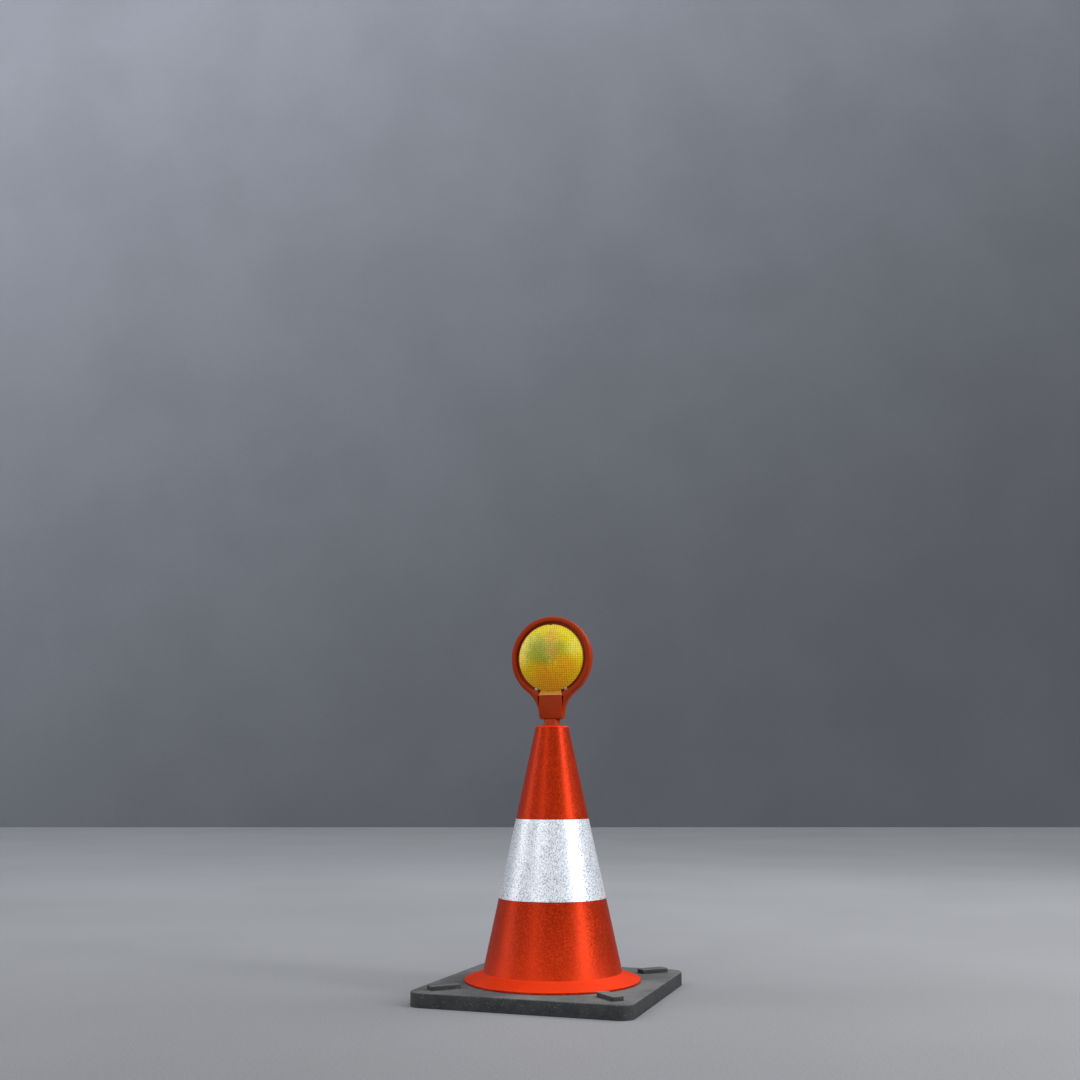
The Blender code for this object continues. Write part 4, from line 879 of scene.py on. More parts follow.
def combine(piece: bpy.types.Object, tool: bpy.types.Object, operation: str) -> None:
    """Applies a Boolean with a tool, and removes the tool."""
    work_on(piece)
    change = piece.modifiers.new("Shape", "BOOLEAN")
    change.operation = operation
    change.solver = "EXACT"
    change.object = tool
    bpy.ops.object.modifier_apply(modifier=change.name)
    bpy.data.objects.remove(tool)


def cut(piece: bpy.types.Object, *tools: bpy.types.Object) -> None:
    """Cuts the tools out of the piece."""
    for tool in tools:
        combine(piece, tool, "DIFFERENCE")


def join(piece: bpy.types.Object, *tools: bpy.types.Object) -> None:
    """Joins the tools to the piece."""
    for tool in tools:
        combine(piece, tool, "UNION")


def place(piece: bpy.types.Object, matrix: Matrix) -> bpy.types.Object:
    """Moves a piece and applies it to the mesh."""
    work_on(piece)
    piece.matrix_world = matrix @ piece.matrix_world
    bpy.ops.object.transform_apply(location=True, rotation=True, scale=True)
    return piece


def moved(piece: bpy.types.Object, x: float = 0, y: float = 0, z: float = 0) -> bpy.types.Object:
    """Moves a piece without turning it."""
    return place(piece, Matrix.Translation((x, y, z)))


def twin(piece: bpy.types.Object, name: str) -> bpy.types.Object:
    """A copy of a piece with a mesh of its own."""
    made = piece.copy()
    made.data = piece.data.copy()
    made.name = made.data.name = name
    bpy.context.collection.objects.link(made)
    return made


def smooth(piece: bpy.types.Object) -> bpy.types.Object:
    """Shades a piece smooth, with its sharp edges kept."""
    work_on(piece)
    bpy.ops.object.shade_smooth_by_angle(angle=SMOOTH)
    return piece


def arc(centre: Point, radius: float, start: float, end: float, steps: int) -> list[Point]:
    """Points along an arc.

    Args:
        centre: Its centre.
        radius: Its radius.
        start: First angle in degrees.
        end: Last angle in degrees.
        steps: Number of steps between them.

    Returns:
        The points, both ends included.
    """
    angles = [math.radians(start + (end - start) * step / steps) for step in range(steps + 1)]
    return [(centre[0] + radius * math.cos(angle), centre[1] + radius * math.sin(angle)) for angle in angles]


def rounded(half_x: float, half_y: float, corner: float, steps: int = 6) -> list[Point]:
    """Outline of a rectangle with round corners, centred on the origin."""
    outline: list[Point] = []
    for quarter, (side_x, side_y) in enumerate(((1, 1), (-1, 1), (-1, -1), (1, -1))):
        centre = (side_x * (half_x - corner), side_y * (half_y - corner))
        outline += arc(centre, corner, 90 * quarter, 90 * quarter + 90, steps)
    return outline


class Span:
    """Box of a CAD node at rest."""

    def __init__(self, node: str) -> None:
        """Measures the node."""
        self.low, self.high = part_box(node)

    @property
    def middle(self) -> Vector:
        """Centre of the box."""
        return (self.low + self.high) / 2

    @property
    def size(self) -> Vector:
        """Width, depth and height."""
        return self.high - self.low


def mount_place(name: str) -> Vector:
    """Place of a mount of the record."""
    return next(Vector(mount["pos_m"]) for mount in frame["record"]["mounts"] if mount["name"] == name)


LAMP_CENTRE = Vector((0, 0, LAMP_HEIGHT))
FRONT = Matrix.Translation(LAMP_CENTRE) @ Matrix.Rotation(math.pi / 2, 4, "X")
REAR = Matrix.Rotation(math.pi, 4, "Z") @ FRONT


# ----------------------------------------------------------------------------------------------------------
# Stand


@dataclass
class RubberBase:
    """Square rubber base with a stacking lug at each corner and a hole for the cone's skirt."""

    corner: float = 0.026
    lug_rise: float = 0.008
    top_edge: float = 0.0028
    foot_edge: float = 0.0012
    lug_length: float = 0.058
    lug_width: float = 0.024
    lug_corner: float = 0.004
    lug_edge: float = 0.0016
    groove_pitch: float = 0.018
    groove_depth: float = 0.0022
    groove_half: float = 0.003
    hole: float = 0.132
    mouth_edge: float = 0.0008
    ring_room: float = 0.0013

    def build(self, dresser: Dresser) -> None:
        """Makes the base."""
        box, ring = Span("base_plate"), Span("lock_ring")
        lug_top = mount_place("stacking_lug_rear_right")
        thickness = lug_top.z - self.lug_rise
        half = box.high.x
        base = slab("rubber_base", rounded(half, half, self.corner, 12), 0, thickness)
        bevel(base, lambda a, b: min(a.z, b.z) > thickness - MERGE, self.top_edge, 4)
        bevel(base, lambda a, b: max(a.z, b.z) < MERGE, self.foot_edge, 2)
        reach = lug_top.xy.length
        for quarter in range(4):
            outline = rounded(self.lug_length / 2, self.lug_width / 2, self.lug_corner, 5)
            lug = slab("lug", outline, thickness - REACH, box.high.z)
            bevel(lug, lambda a, b: min(a.z, b.z) > box.high.z - MERGE, self.lug_edge, 3)
            moved(lug, reach)
            join(base, place(lug, Matrix.Rotation(math.radians(45 + 90 * quarter), 4, "Z")))
        counterbore = ring.high.x + self.ring_room
        ledge = ring.high.z + GAP
        hole, flare = self.hole, self.hole + self.mouth_edge
        mouth = [
            (0, -REACH),
            (counterbore + 0.001, -REACH),
            (counterbore, 0.001),
            (counterbore, ledge),
            (hole, ledge),
            (hole, thickness - self.mouth_edge),
            (flare, thickness),
            (flare, thickness + REACH),
            (0, thickness + REACH),
        ]
        cut(base, turned("mouth", mouth, Segments.LARGE))
        self.groove_underside(base, counterbore, half)
        dresser.put(smooth(base), "base_plate")

    def groove_underside(self, base: bpy.types.Object, inner: float, half: float) -> None:
        """Cuts two round grip grooves under the base.

        Args:
            base: The base.
            inner: Radius of the counterbore.
            half: Half the base's side.
        """
        radius = inner + self.groove_pitch
        while radius + self.groove_half < half - self.groove_pitch / 2:
            inside, outside = radius - self.groove_half, radius + self.groove_half
            section = [(inside, -REACH), (outside, -REACH), (outside, 0)]
            section += [(radius, self.groove_depth), (inside, 0), section[0]]
            cut(base, turned("groove", section, Segments.MEDIUM))
            radius += self.groove_pitch


@dataclass
class TrafficCone:
    """Hollow cone with a round shoulder, a flange over the base, and the reflective sleeve let into it."""

    top_radius: float = 0.0318
    foot_radius: float = 0.1317
    foot_rise: float = 0.016
    wall: float = 0.004
    shoulder: float = 0.005
    roof: float = 0.005
    rim: float = 0.0043
    base: float = 0.026
    sleeve_depth: float = 0.0015
    skirt_foot: float = 0.003
    lip_height: float = 0.0027
    skirt_lip: float = 0.002
    relief_rim: float = 0.006
    relief_foot: float = 0.005
    fillet: float = 0.0022
    mouth_edge: float = 0.0006
    collar_rim: float = 0.0023
    ring_half: float = 0.0065
    seam_half: float = 0.0004
    seam_depth: float = 0.0005
    seam_reach: float = 0.1

    def radius(self, z: float) -> float:
        """Outer radius of the wall at a height."""
        share = (self.height - z) / (self.height - self.foot_z)
        return self.top_radius + share * (self.foot_radius - self.top_radius)

    def build(self, dresser: Dresser) -> None:
        """Makes the cone, its sleeve and the ring that locks it under the base."""
        cone, sleeve, ring = Span("cone_body"), Span("reflective_sleeve"), Span("lock_ring")
        self.height = cone.high.z
        self.foot_z = self.base + self.foot_rise
        flange = cone.high.x
        low, high = sleeve.low.z - GAP, sleeve.high.z + GAP
        rim = self.base + GAP
        slope = (self.foot_rise - GAP - self.rim) / (flange - self.foot_radius)
        skirt = self.foot_radius - GAP
        bush = Span("swivel_collar").high.x - self.collar_rim + GAP
        shoulder_z = self.height - self.shoulder
        shoulder_r = self.radius(shoulder_z) - self.shoulder
        roof = self.height - self.roof
        out, inward = flange - self.relief_rim, self.foot_radius + self.relief_foot
        mouth = self.mouth_edge
        profile = [(bush, roof), (bush, self.height - mouth), (bush + mouth, self.height)]
        profile += reversed(arc((shoulder_r, shoulder_z), self.shoulder, 0, 90, 8))
        for z, depths in ((high, (0, self.sleeve_depth)), (low, (self.sleeve_depth, 0))):
            profile += [(self.radius(z) - depth, z) for depth in depths]
        fillet = self.fillet
        profile += [
            (self.radius(self.foot_z + fillet), self.foot_z + fillet),
            (self.foot_radius + 0.3 * fillet, self.foot_z + 0.25 * fillet),
            (self.foot_radius + fillet, self.foot_z - slope * fillet),
            (flange - 0.0016, rim + self.rim + slope * 0.0016),
            (flange - 0.0005, rim + self.rim - 0.0003),
            (flange, rim + self.rim - 0.0014),
            (flange, rim + 0.0004),
            (flange - 0.0004, rim),
            (out, rim),
            (out, self.foot_z - slope * (out - self.foot_radius) - self.wall),
            (inward, self.foot_z - slope * self.relief_foot - self.wall),
            (inward, rim),
            (skirt, rim),
            (skirt, self.skirt_foot + self.lip_height),
            (skirt + self.skirt_lip, self.skirt_foot + self.lip_height),
            (skirt, self.skirt_foot),
            (skirt - self.wall, self.skirt_foot),
            (self.foot_radius - self.wall, self.foot_z),
            (self.radius(roof) - self.wall, roof),
            (bush, roof),
        ]
        body = turned("cone_shell", profile, Segments.LARGE)
        dresser.put(smooth(body), "cone_body")
        self.build_sleeve(dresser, sleeve)
        inner = skirt + GAP
        middle = inner + (ring.high.x - inner) / 2
        corners = rounded(self.ring_half, ring.size.z / 2, 0.001, 3)
        section = [(middle + x, ring.middle.z + z) for x, z in corners]
        lock = turned("cone_lock_ring", [*section, section[0]], Segments.LARGE)
        dresser.put(smooth(lock), "lock_ring")

    def build_sleeve(self, dresser: Dresser, sleeve: Span) -> None:
        """Makes the sleeve, with an overlapped seam at the back.

        Args:
            dresser: Hands the piece over.
            sleeve: Box of the sleeve.
        """
        low, high = sleeve.low.z, sleeve.high.z
        inner = self.sleeve_depth - GAP
        edge = 0.0003
        section = [(self.radius(low) - inner, low), (self.radius(low) - edge, low)]
        section += [(self.radius(low + edge), low + edge), (self.radius(high - edge), high - edge)]
        section += [(self.radius(high) - edge, high), (self.radius(high) - inner, high)]
        film = turned("sleeve_film", [*section, section[0]], Segments.LARGE)
        lean = math.atan((self.radius(low) - self.radius(high)) / (high - low))
        half, reach = self.seam_half, self.seam_reach
        seam = block("seam", (-half, -self.seam_depth, -reach), (half, 0.01, reach))
        middle = (low + high) / 2
        at = Matrix.Translation((0, self.radius(middle), middle))
        cut(film, place(seam, at @ Matrix.Rotation(lean, 4, "X")))
        dresser.put(smooth(film), "reflective_sleeve")


@dataclass
class SwivelCollar:
    """Collar that turns in the cone's top, with its washer and the groove for its circlip."""

    wall: float = 0.0028
    rim: float = 0.0023
    flange: float = 0.0015
    lip: float = 0.0035
    floor: float = 0.003
    groove: float = 0.0014

    def build(self, dresser: Dresser) -> None:
        """Makes the collar and its washer."""
        collar, washer, clip = Span("swivel_collar"), Span("collar_washer"), Span("collar_circlip")
        outer = collar.high.x - self.rim
        bore = outer - self.wall
        top, low = collar.high.z, collar.low.z
        seat = top - self.flange
        groove_top, groove_low = clip.high.z + GAP / 2, clip.low.z - GAP / 2
        edge = 0.0005
        section = [
            (bore + edge, top),
            (outer + self.rim - edge, top),
            (outer + self.rim, top - edge),
            (outer + self.rim, seat),
            (outer, seat),
            (outer, groove_top),
            (outer - self.groove, groove_top),
            (outer - self.groove, groove_low),
            (outer, groove_low),
            (outer, low + 2 * edge),
            (outer - 2 * edge, low),
            (bore - self.lip, low),
            (bore - self.lip, low + self.floor),
            (bore, low + self.floor),
            (bore, top - edge),
            (bore + edge, top),
        ]
        dresser.put(smooth(turned("collar", section, Segments.MEDIUM)), "swivel_collar")
        inner = outer + GAP
        flat = rounded((washer.high.x - inner) / 2, washer.size.z / 2, 0.0004, 2)
        middle = (washer.high.x + inner) / 2
        ring = [(middle + x, washer.middle.z + z) for x, z in flat]
        dresser.put(smooth(turned("washer", [*ring, ring[0]], Segments.MEDIUM)), "collar_washer")


# ----------------------------------------------------------------------------------------------------------
# Lamp head


@dataclass
class LampSizes:
    """Sizes that the parts of the lamp share, in the frame of one side."""

    ring_width: float = 0.011
    ring_depth: float = 0.010
    crown: float = 0.0046
    web: float = 0.003
    web_width: float = 0.020
    case_half: float = 0.025
    block_half: float = 0.0235
    block_drop: float = 0.0085
    foot_chamfer: float = 0.005
    foot_inset: float = 0.003
    front_depth: float = 0.012
    rear_depth: float = 0.014
    ear_angle: float = math.radians(26.3)
    ear_offset: float = 0.0016
    screw_hole: float = 0.0017
    screw_head: float = 0.0026
    ring: float = field(init=False)
    case_low: float = field(init=False)
    lens: float = field(init=False)

    def __post_init__(self) -> None:
        """Reads the rest from the frame."""
        shell, lens = Span("front_shell"), Span("front_lens")
        self.ring = shell.high.x
        self.case_low = shell.low.z - LAMP_CENTRE.z
        self.lens = lens.high.x
        self.well = self.ring - self.ring_width
        self.opening = self.well - self.web_width
        self.lens_seat = -lens.high.y
        self.lens_edge = self.lens_seat + 0.0035
        self.block_top = self.block_drop - self.ring
        self.fillet_drop = -self.case_low - self.foot_chamfer
        top = self.fillet_drop**2 + self.case_half**2 - self.ring**2
        self.fillet = top / (2 * (self.ring - self.case_half))

    def outline(self) -> list[Point]:
        """Teardrop outline: ring, concave fillets down to the case, and a chamfered foot."""
        centre = (self.case_half + self.fillet, -self.fillet_drop)
        meet = math.degrees(math.atan2(self.fillet_drop, centre[0]))
        right = [(self.case_half - self.foot_inset, self.case_low)]
        right += arc(centre, self.fillet, 180, 180 - meet, 18)
        right += arc((0, 0), self.ring, -meet, 90, 64)[1:]
        return right + [(-x, y) for x, y in reversed(right[:-1])]

    def lens_screws(self) -> list[Point]:
        """Places of a lens's two screws."""
        reach = self.lens + self.ear_offset
        x, y = reach * math.sin(self.ear_angle), -reach * math.cos(self.ear_angle)
        return [(-x, y), (x, y)]

    def shell_screws(self) -> list[Point]:
        """Places of the four screws that hold the halves together."""
        middle = self.ring - self.ring_width / 2
        angle = math.radians(55)
        x, y = middle * math.cos(angle), middle * math.sin(angle)
        low_x = self.case_half + 0.0055
        low_y = -math.sqrt((self.ring + self.screw_head) ** 2 - low_x**2)
        return [(-x, y), (x, y), (-low_x, low_y), (low_x, low_y)]


@dataclass
class LampHousing:
    """Two moulded halves: a round ring with concave wings that run down to the battery case."""

    sizes: LampSizes
    cavity_half: float = 0.021
    cavity_depth: float = 0.0097
    cavity_high: float = 0.0415
    case_floor: float = 0.003
    pocket_width: float = 0.0036
    pocket_floor: float = 0.0035
    pocket_drop: float = 0.023
    tongue_half: float = 0.0248
    seat: float = 0.0075
    door_half: float = 0.0195
    knuckle: float = 0.0018
    knuckle_near: float = 0.008
    knuckle_far: float = 0.013
    pin: float = 0.00095
    button_bore: float = 0.0028
    board_step: float = 0.0011
    neck: float = 0.0073
    lip: float = 0.0034
    screw_seat: float = 0.0032
    channel_half: float = 0.007
    switch_half: float = 0.0065

    def half(self, name: str, depth: float, top: float) -> bpy.types.Object:
        """One half before the openings of its own.

        Args:
            name: Name of the piece.
            depth: How far the case block stands out.
            top: Where the block ends at its top.

        Returns:
            The piece, flat in the frame of its side.
        """
        s = self.sizes
        shell = slab(name, s.outline(), GAP / 2, s.ring_depth)
        bevel(shell, lambda a, b: min(a.z, b.z) > s.ring_depth - MERGE, s.crown, 7)
        side = s.block_half
        pocket_top = s.block_top - 0.001
        for hand in (-1, 1):
            outline = [
                (hand * (side - 0.002), pocket_top),
                (hand * (side + self.pocket_width), pocket_top),
                (hand * (side + 0.0002), pocket_top - self.pocket_drop),
                (hand * (side - 0.002), pocket_top - self.pocket_drop),
            ]
            ordered = outline if hand > 0 else outline[::-1]
            cut(shell, slab("pocket", ordered, self.pocket_floor, s.rear_depth + REACH))
        self.join_block(shell, depth, top)
        lip = self.lip
        well = [(0, s.web), (s.well, s.web), *arc((s.well + lip, s.ring_depth - lip), lip, 180, 90, 6)]
        well += [(s.well + lip, s.rear_depth + REACH), (0, s.rear_depth + REACH)]
        board = s.opening + 0.0035
        step, high = self.board_step, s.web + REACH
        bore = [(0, -REACH), (board, -REACH), (board, step), (s.opening, step), (s.opening, high), (0, high)]
        cut(shell, turned("well", well, Segments.LARGE), turned("opening", bore, Segments.MEDIUM))
        low = s.case_low + self.case_floor
        corner = (self.cavity_half, s.case_low + self.cavity_high, self.cavity_depth)
        cut(shell, block("cavity", (-self.cavity_half, low, -REACH), corner))
        neck = drum("neck", self.neck, -REACH, self.case_floor + REACH)
        down = Matrix.Translation((0, s.case_low, 0)) @ Matrix.Rotation(-math.pi / 2, 4, "X")
        cut(shell, place(neck, down))
        for x, y in s.lens_screws():
            cut(shell, moved(drum("hole", s.screw_hole, -REACH, s.web + REACH, Segments.TINY), x, y))
        return shell

    def join_block(self, shell: bpy.types.Object, depth: float, top: float) -> None:
        """Joins the flat-fronted case block to a half.

        Args:
            shell: The half.
            depth: How far the block stands out.
            top: Where it ends at its top.
        """
        s = self.sizes
        side, low = s.block_half, s.case_low + GAP
        high = s.case_low + s.foot_chamfer
        inset = side - s.foot_inset
        outline = [(inset, low), (side, high), (side, top), (-side, top), (-side, high), (-inset, low)]
        case = slab("case_block", outline, s.ring_depth / 2, depth)
        bevel(case, lambda a, b: min(a.z, b.z) > depth - MERGE, 0.0016, 4)
        join(shell, case)

    def build(self, dresser: Dresser) -> None:
        """Makes both halves."""
        s = self.sizes
        front = self.half("front_housing", s.front_depth, s.block_top + 0.001)
        wide, tall = self.tongue_half, s.rear_depth + REACH
        cut(front, block("notch", (-wide, s.block_top, s.web + GAP), (wide, 0, tall)))
        case_top = s.case_low + self.cavity_high
        side = self.channel_half
        cut(front, block("channel", (-side, case_top - REACH, -REACH), (side, REACH - s.opening, 0.0022)))
        dresser.put(smooth(place(front, FRONT)), "front_shell")

        rear = self.half("rear_housing", s.rear_depth, -s.well - GAP)
        seal = Span("door_seal")
        door_low, door_high = seal.low.z - GAP - LAMP_CENTRE.z, seal.high.z + GAP - LAMP_CENTRE.z
        ledge = seal.low.y - GAP
        half = self.door_half
        recess = block("recess", (-half - GAP, door_low - GAP, ledge), (half + GAP, door_high + GAP, tall))
        frame_width = 0.0025
        bay_low = (frame_width - half, door_low + frame_width, self.cavity_depth - REACH)
        bay = block("bay", bay_low, (half - frame_width, door_high - frame_width, ledge + REACH))
        side = self.switch_half
        pocket = block("pocket", (-side, case_top - REACH, -REACH), (side, case_top + 0.0056, 0.0095))
        button_y = Span("power_button").middle.z - LAMP_CENTRE.z
        button = moved(drum("button_bore", self.button_bore, 0.008, tall), 0, button_y)
        cut(rear, recess, bay, pocket, button)
        for x, y in s.shell_screws():
            cut(rear, moved(drum("hole", s.screw_hole, -REACH, s.rear_depth, Segments.TINY), x, y))
            cut(rear, moved(drum("screw_seat", self.screw_seat, self.seat - GAP, s.rear_depth), x, y))
        self.join_knuckles(rear)
        dresser.put(smooth(place(rear, REAR)), "rear_shell")

    def join_knuckles(self, rear: bpy.types.Object) -> None:
        """Adds the hinge knuckles on which the battery door turns."""
        s = self.sizes
        pin = Span("door_hinge_pin")
        hinge_y, depth = pin.middle.z - LAMP_CENTRE.z, pin.middle.y
        across = Matrix.Translation((0, hinge_y, depth)) @ Matrix.Rotation(math.pi / 2, 4, "Y")
        for hand in (-1, 1):
            near, far = sorted((hand * self.knuckle_near, hand * self.knuckle_far))
            low = (near, s.case_low + 3 * GAP, s.rear_depth - 0.001)
            leg = block("leg", low, (far, hinge_y + 0.0012, depth))
            join(rear, leg, place(drum("knuckle", self.knuckle, near, far), across))
        reach = self.knuckle_far + REACH
        cut(rear, place(drum("pin_bore", self.pin, -reach, reach, Segments.TINY), across))


@dataclass
class PrismLens:
    """Domed amber lens: smooth outside, rows of small pyramids inside."""

    sizes: LampSizes
    rise: float = 0.017
    wall: float = 0.0025
    pitch_x: float = 0.0022
    pitch_y: float = 0.0030
    prism: float = 0.0009
    ear: float = 0.0035
    ear_depth: float = 0.0022
    index_half: float = 0.003
    index_depth: float = 0.0016
    notch: float = 0.0034

    def dome(self, radius: float, sphere: float, centre: float, steps: int) -> list[Point]:
        """Points of a dome's profile from its rim to its top."""
        points = []
        for step in range(steps + 1):
            r = radius * (1 - step / steps)
            points.append((r, centre + math.sqrt(sphere**2 - r**2)))
        return points

    def shell(self) -> bpy.types.Object:
        """The lens before its tongue.

        Returns:
            The piece, flat in the frame of its side.
        """
        s = self.sizes
        sphere = (s.lens**2 + self.rise**2) / (2 * self.rise)
        centre = s.lens_edge + self.rise - sphere
        edge = 0.0008
        outer = [(0, s.lens_seat), (s.lens, s.lens_seat), (s.lens, s.lens_edge - edge)]
        lens = turned("lens", outer + self.dome(s.lens - edge / 2, sphere, centre, 18), Segments.LARGE)
        for x, y in s.lens_screws():
            join(lens, moved(drum("ear", self.ear, s.lens_seat, s.lens_seat + self.ear_depth), x, y))
        cut(lens, self.prisms(sphere - self.wall, centre))
        for x, y in s.lens_screws():
            seat = s.lens_seat + self.ear_depth
            hole = moved(drum("hole", s.screw_hole, s.lens_seat - REACH, s.lens_edge, Segments.TINY), x, y)
            cut(lens, hole, moved(drum("seat", self.notch, seat, s.lens_edge + self.rise), x, y))
        low = (-self.index_half, s.lens - self.index_depth, s.lens_seat - REACH)
        cut(lens, block("index", low, (self.index_half, s.well, s.lens_edge + self.rise)))
        return lens

    def prisms(self, sphere: float, centre: float) -> bpy.types.Object:
        """The hollow inside the lens: a bar whose top is the inner dome set with pyramids.

        Args:
            sphere: Radius of the inner dome.
            centre: Height of the dome's centre.

        Returns:
            The cutter.
        """
        s = self.sizes
        inner = s.lens - self.wall
        columns = 2 * math.ceil(inner / self.pitch_x)
        rows = 2 * math.ceil(inner / self.pitch_y)
        clear_selection()
        bpy.ops.mesh.primitive_grid_add(x_subdivisions=columns, y_subdivisions=rows, size=1)
        sheet = bpy.context.object
        sheet.name = sheet.data.name = "prism_sheet"
        place(sheet, Matrix.Diagonal((columns * self.pitch_x, rows * self.pitch_y, 1, 1)))
        far = (sphere**2 - inner**2) ** 0.5
        with editing(sheet):
            mesh = bmesh.from_edit_mesh(sheet.data)
            for vert in mesh.verts:
                reach = min(vert.co.length, inner * 1.02)
                vert.co.z = centre + max(math.sqrt(sphere**2 - reach**2), far * 0.98)
            bmesh.update_edit_mesh(sheet.data)
            bpy.ops.mesh.poke(offset=-self.prism)
            bpy.ops.mesh.select_all(action="SELECT")
            bpy.ops.mesh.extrude_region_move(TRANSFORM_OT_translate={"value": (0, 0, -2 * self.rise)})
        tidy_mesh(sheet)
        top = s.lens_edge + self.rise + REACH
        bar = drum("hollow", inner - 0.0004, s.lens_seat - REACH, top, Segments.LARGE)
        combine(bar, sheet, "INTERSECT")
        return bar

    def tongue(self) -> bpy.types.Object:
        """The sloped amber tongue over the case block, which only the front has."""
        s = self.sizes
        low, high = s.block_top + GAP, s.block_top + 0.0105
        back, face = s.lens_seat, s.front_depth - GAP
        tongue = slab("tongue", [(-0.0245, low), (0.0245, low), (0.020, high), (-0.020, high)], back, face)
        with editing(tongue, "EDGE"):
            pick_edges(tongue, lambda a, b: min(a.y, b.y) > high - MERGE and min(a.z, b.z) > face - MERGE)
            bpy.ops.transform.translate(value=(0, 0, s.lens_edge - 0.001 - face))
        bevel(tongue, lambda a, b: abs(a.z - b.z) < MERGE and min(a.z, b.z) > face - MERGE, 0.0010, 3)
        inner = s.lens - self.wall
        cut(tongue, drum("hollow", inner, back - REACH, s.lens_edge - 0.0002, Segments.LARGE))
        for x, y in s.lens_screws():
            seat = s.lens_seat + self.ear_depth
            cut(tongue, moved(drum("seat", self.notch, seat, s.lens_edge + self.rise), x, y))
        return tongue

    def build(self, dresser: Dresser) -> None:
        """Makes both lenses."""
        rear = self.shell()
        front = twin(rear, "front_prism_lens")
        rear.name = rear.data.name = "rear_prism_lens"
        join(front, self.tongue())
        for piece, node, side in ((front, "front_lens", FRONT), (rear, "rear_lens", REAR)):
            dresser.put(smooth(place(piece, side)), node)


@dataclass
class Fasteners:
    """Screws: one is modelled and copied to every place."""

    sizes: LampSizes
    head: float = 0.0026
    shank: float = 0.0014
    height: float = 0.002
    slot_half: float = 0.00042
    slot_depth: float = 0.001
    turn: float = math.radians(35)

    def screw(self, length: float) -> bpy.types.Object:
        """A slotted screw with a low domed head and a threaded shank, its seat at height 0.

        Args:
            length: Length under the head.

        Returns:
            The piece.
        """
        pitch = 0.0008
        root = self.shank * 0.8
        profile = [(0, -length), (root, -length)]
        z = -length + pitch
        while z < -2 * pitch:
            profile += [(root, z - pitch / 2), (self.shank, z - pitch / 4)]
            profile += [(self.shank, z), (root, z + pitch / 4)]
            z += pitch
        head, height = self.head, self.height
        profile += [(root, 0), (head, 0), (head, height * 0.55)]
        profile += [(head * 0.93, height * 0.8), (head * 0.6, height * 0.96), (0, height)]
        screw = turned("screw", profile, Segments.TINY)
        low = (-self.slot_half, -2 * head, height - self.slot_depth)
        slot = block("slot", low, (self.slot_half, 2 * head, 2 * height))
        cut(screw, place(slot, Matrix.Rotation(self.turn, 4, "Z")))
        return smooth(screw)

    def build(self, dresser: Dresser) -> None:
        """Copies the screws to the lenses and the shells."""
        s = self.sizes
        seat = s.lens_seat + 0.0022 + GAP
        short = self.screw(seat - GAP)
        for name, side in (("front", FRONT), ("rear", REAR)):
            for hand, (x, y) in zip(("left", "right"), s.lens_screws()):
                made = twin(short, f"{name}_lens_fixing_{hand}")
                place(made, side @ Matrix.Translation((x, y, seat)))
                dresser.put(made, f"{name}_lens_screw_{hand}")
        bpy.data.objects.remove(short)
        seat = 0.0075
        long = self.screw(seat + 0.006)
        for number, (x, y) in enumerate(s.shell_screws(), 1):
            made = twin(long, f"shell_fixing_{number}")
            place(made, REAR @ Matrix.Translation((x, y, seat)))
            dresser.put(made, f"shell_screw_{number}")
        bpy.data.objects.remove(long)


@dataclass
class LampStem:
    """Round stem that drops into the collar."""

    wall: float = 0.0025
    neck: float = 0.007

    def build(self, dresser: Dresser) -> None:
        """Makes the stem."""
        stem = Span("lamp_stem")
        radius, low = stem.high.x, stem.low.z
        top = Span("front_shell").low.z - GAP
        bore = radius - self.wall
        flange_low = stem.high.z - 0.002
        profile = [
            (0, top - self.wall),
            (bore, top - self.wall),
            (bore, low),
            (radius - 0.001, low),
            (radius, low + 0.001),
            (radius, top - 0.0012),
            (radius - 0.0004, top - 0.0004),
            (radius - 0.0012, top),
            (self.neck, top),
            (self.neck, flange_low),
            (0.0092, flange_low),
            (0.0092, stem.high.z),
            (0, stem.high.z),
        ]
        dresser.put(smooth(turned("stem", profile, Segments.MEDIUM)), "lamp_stem")


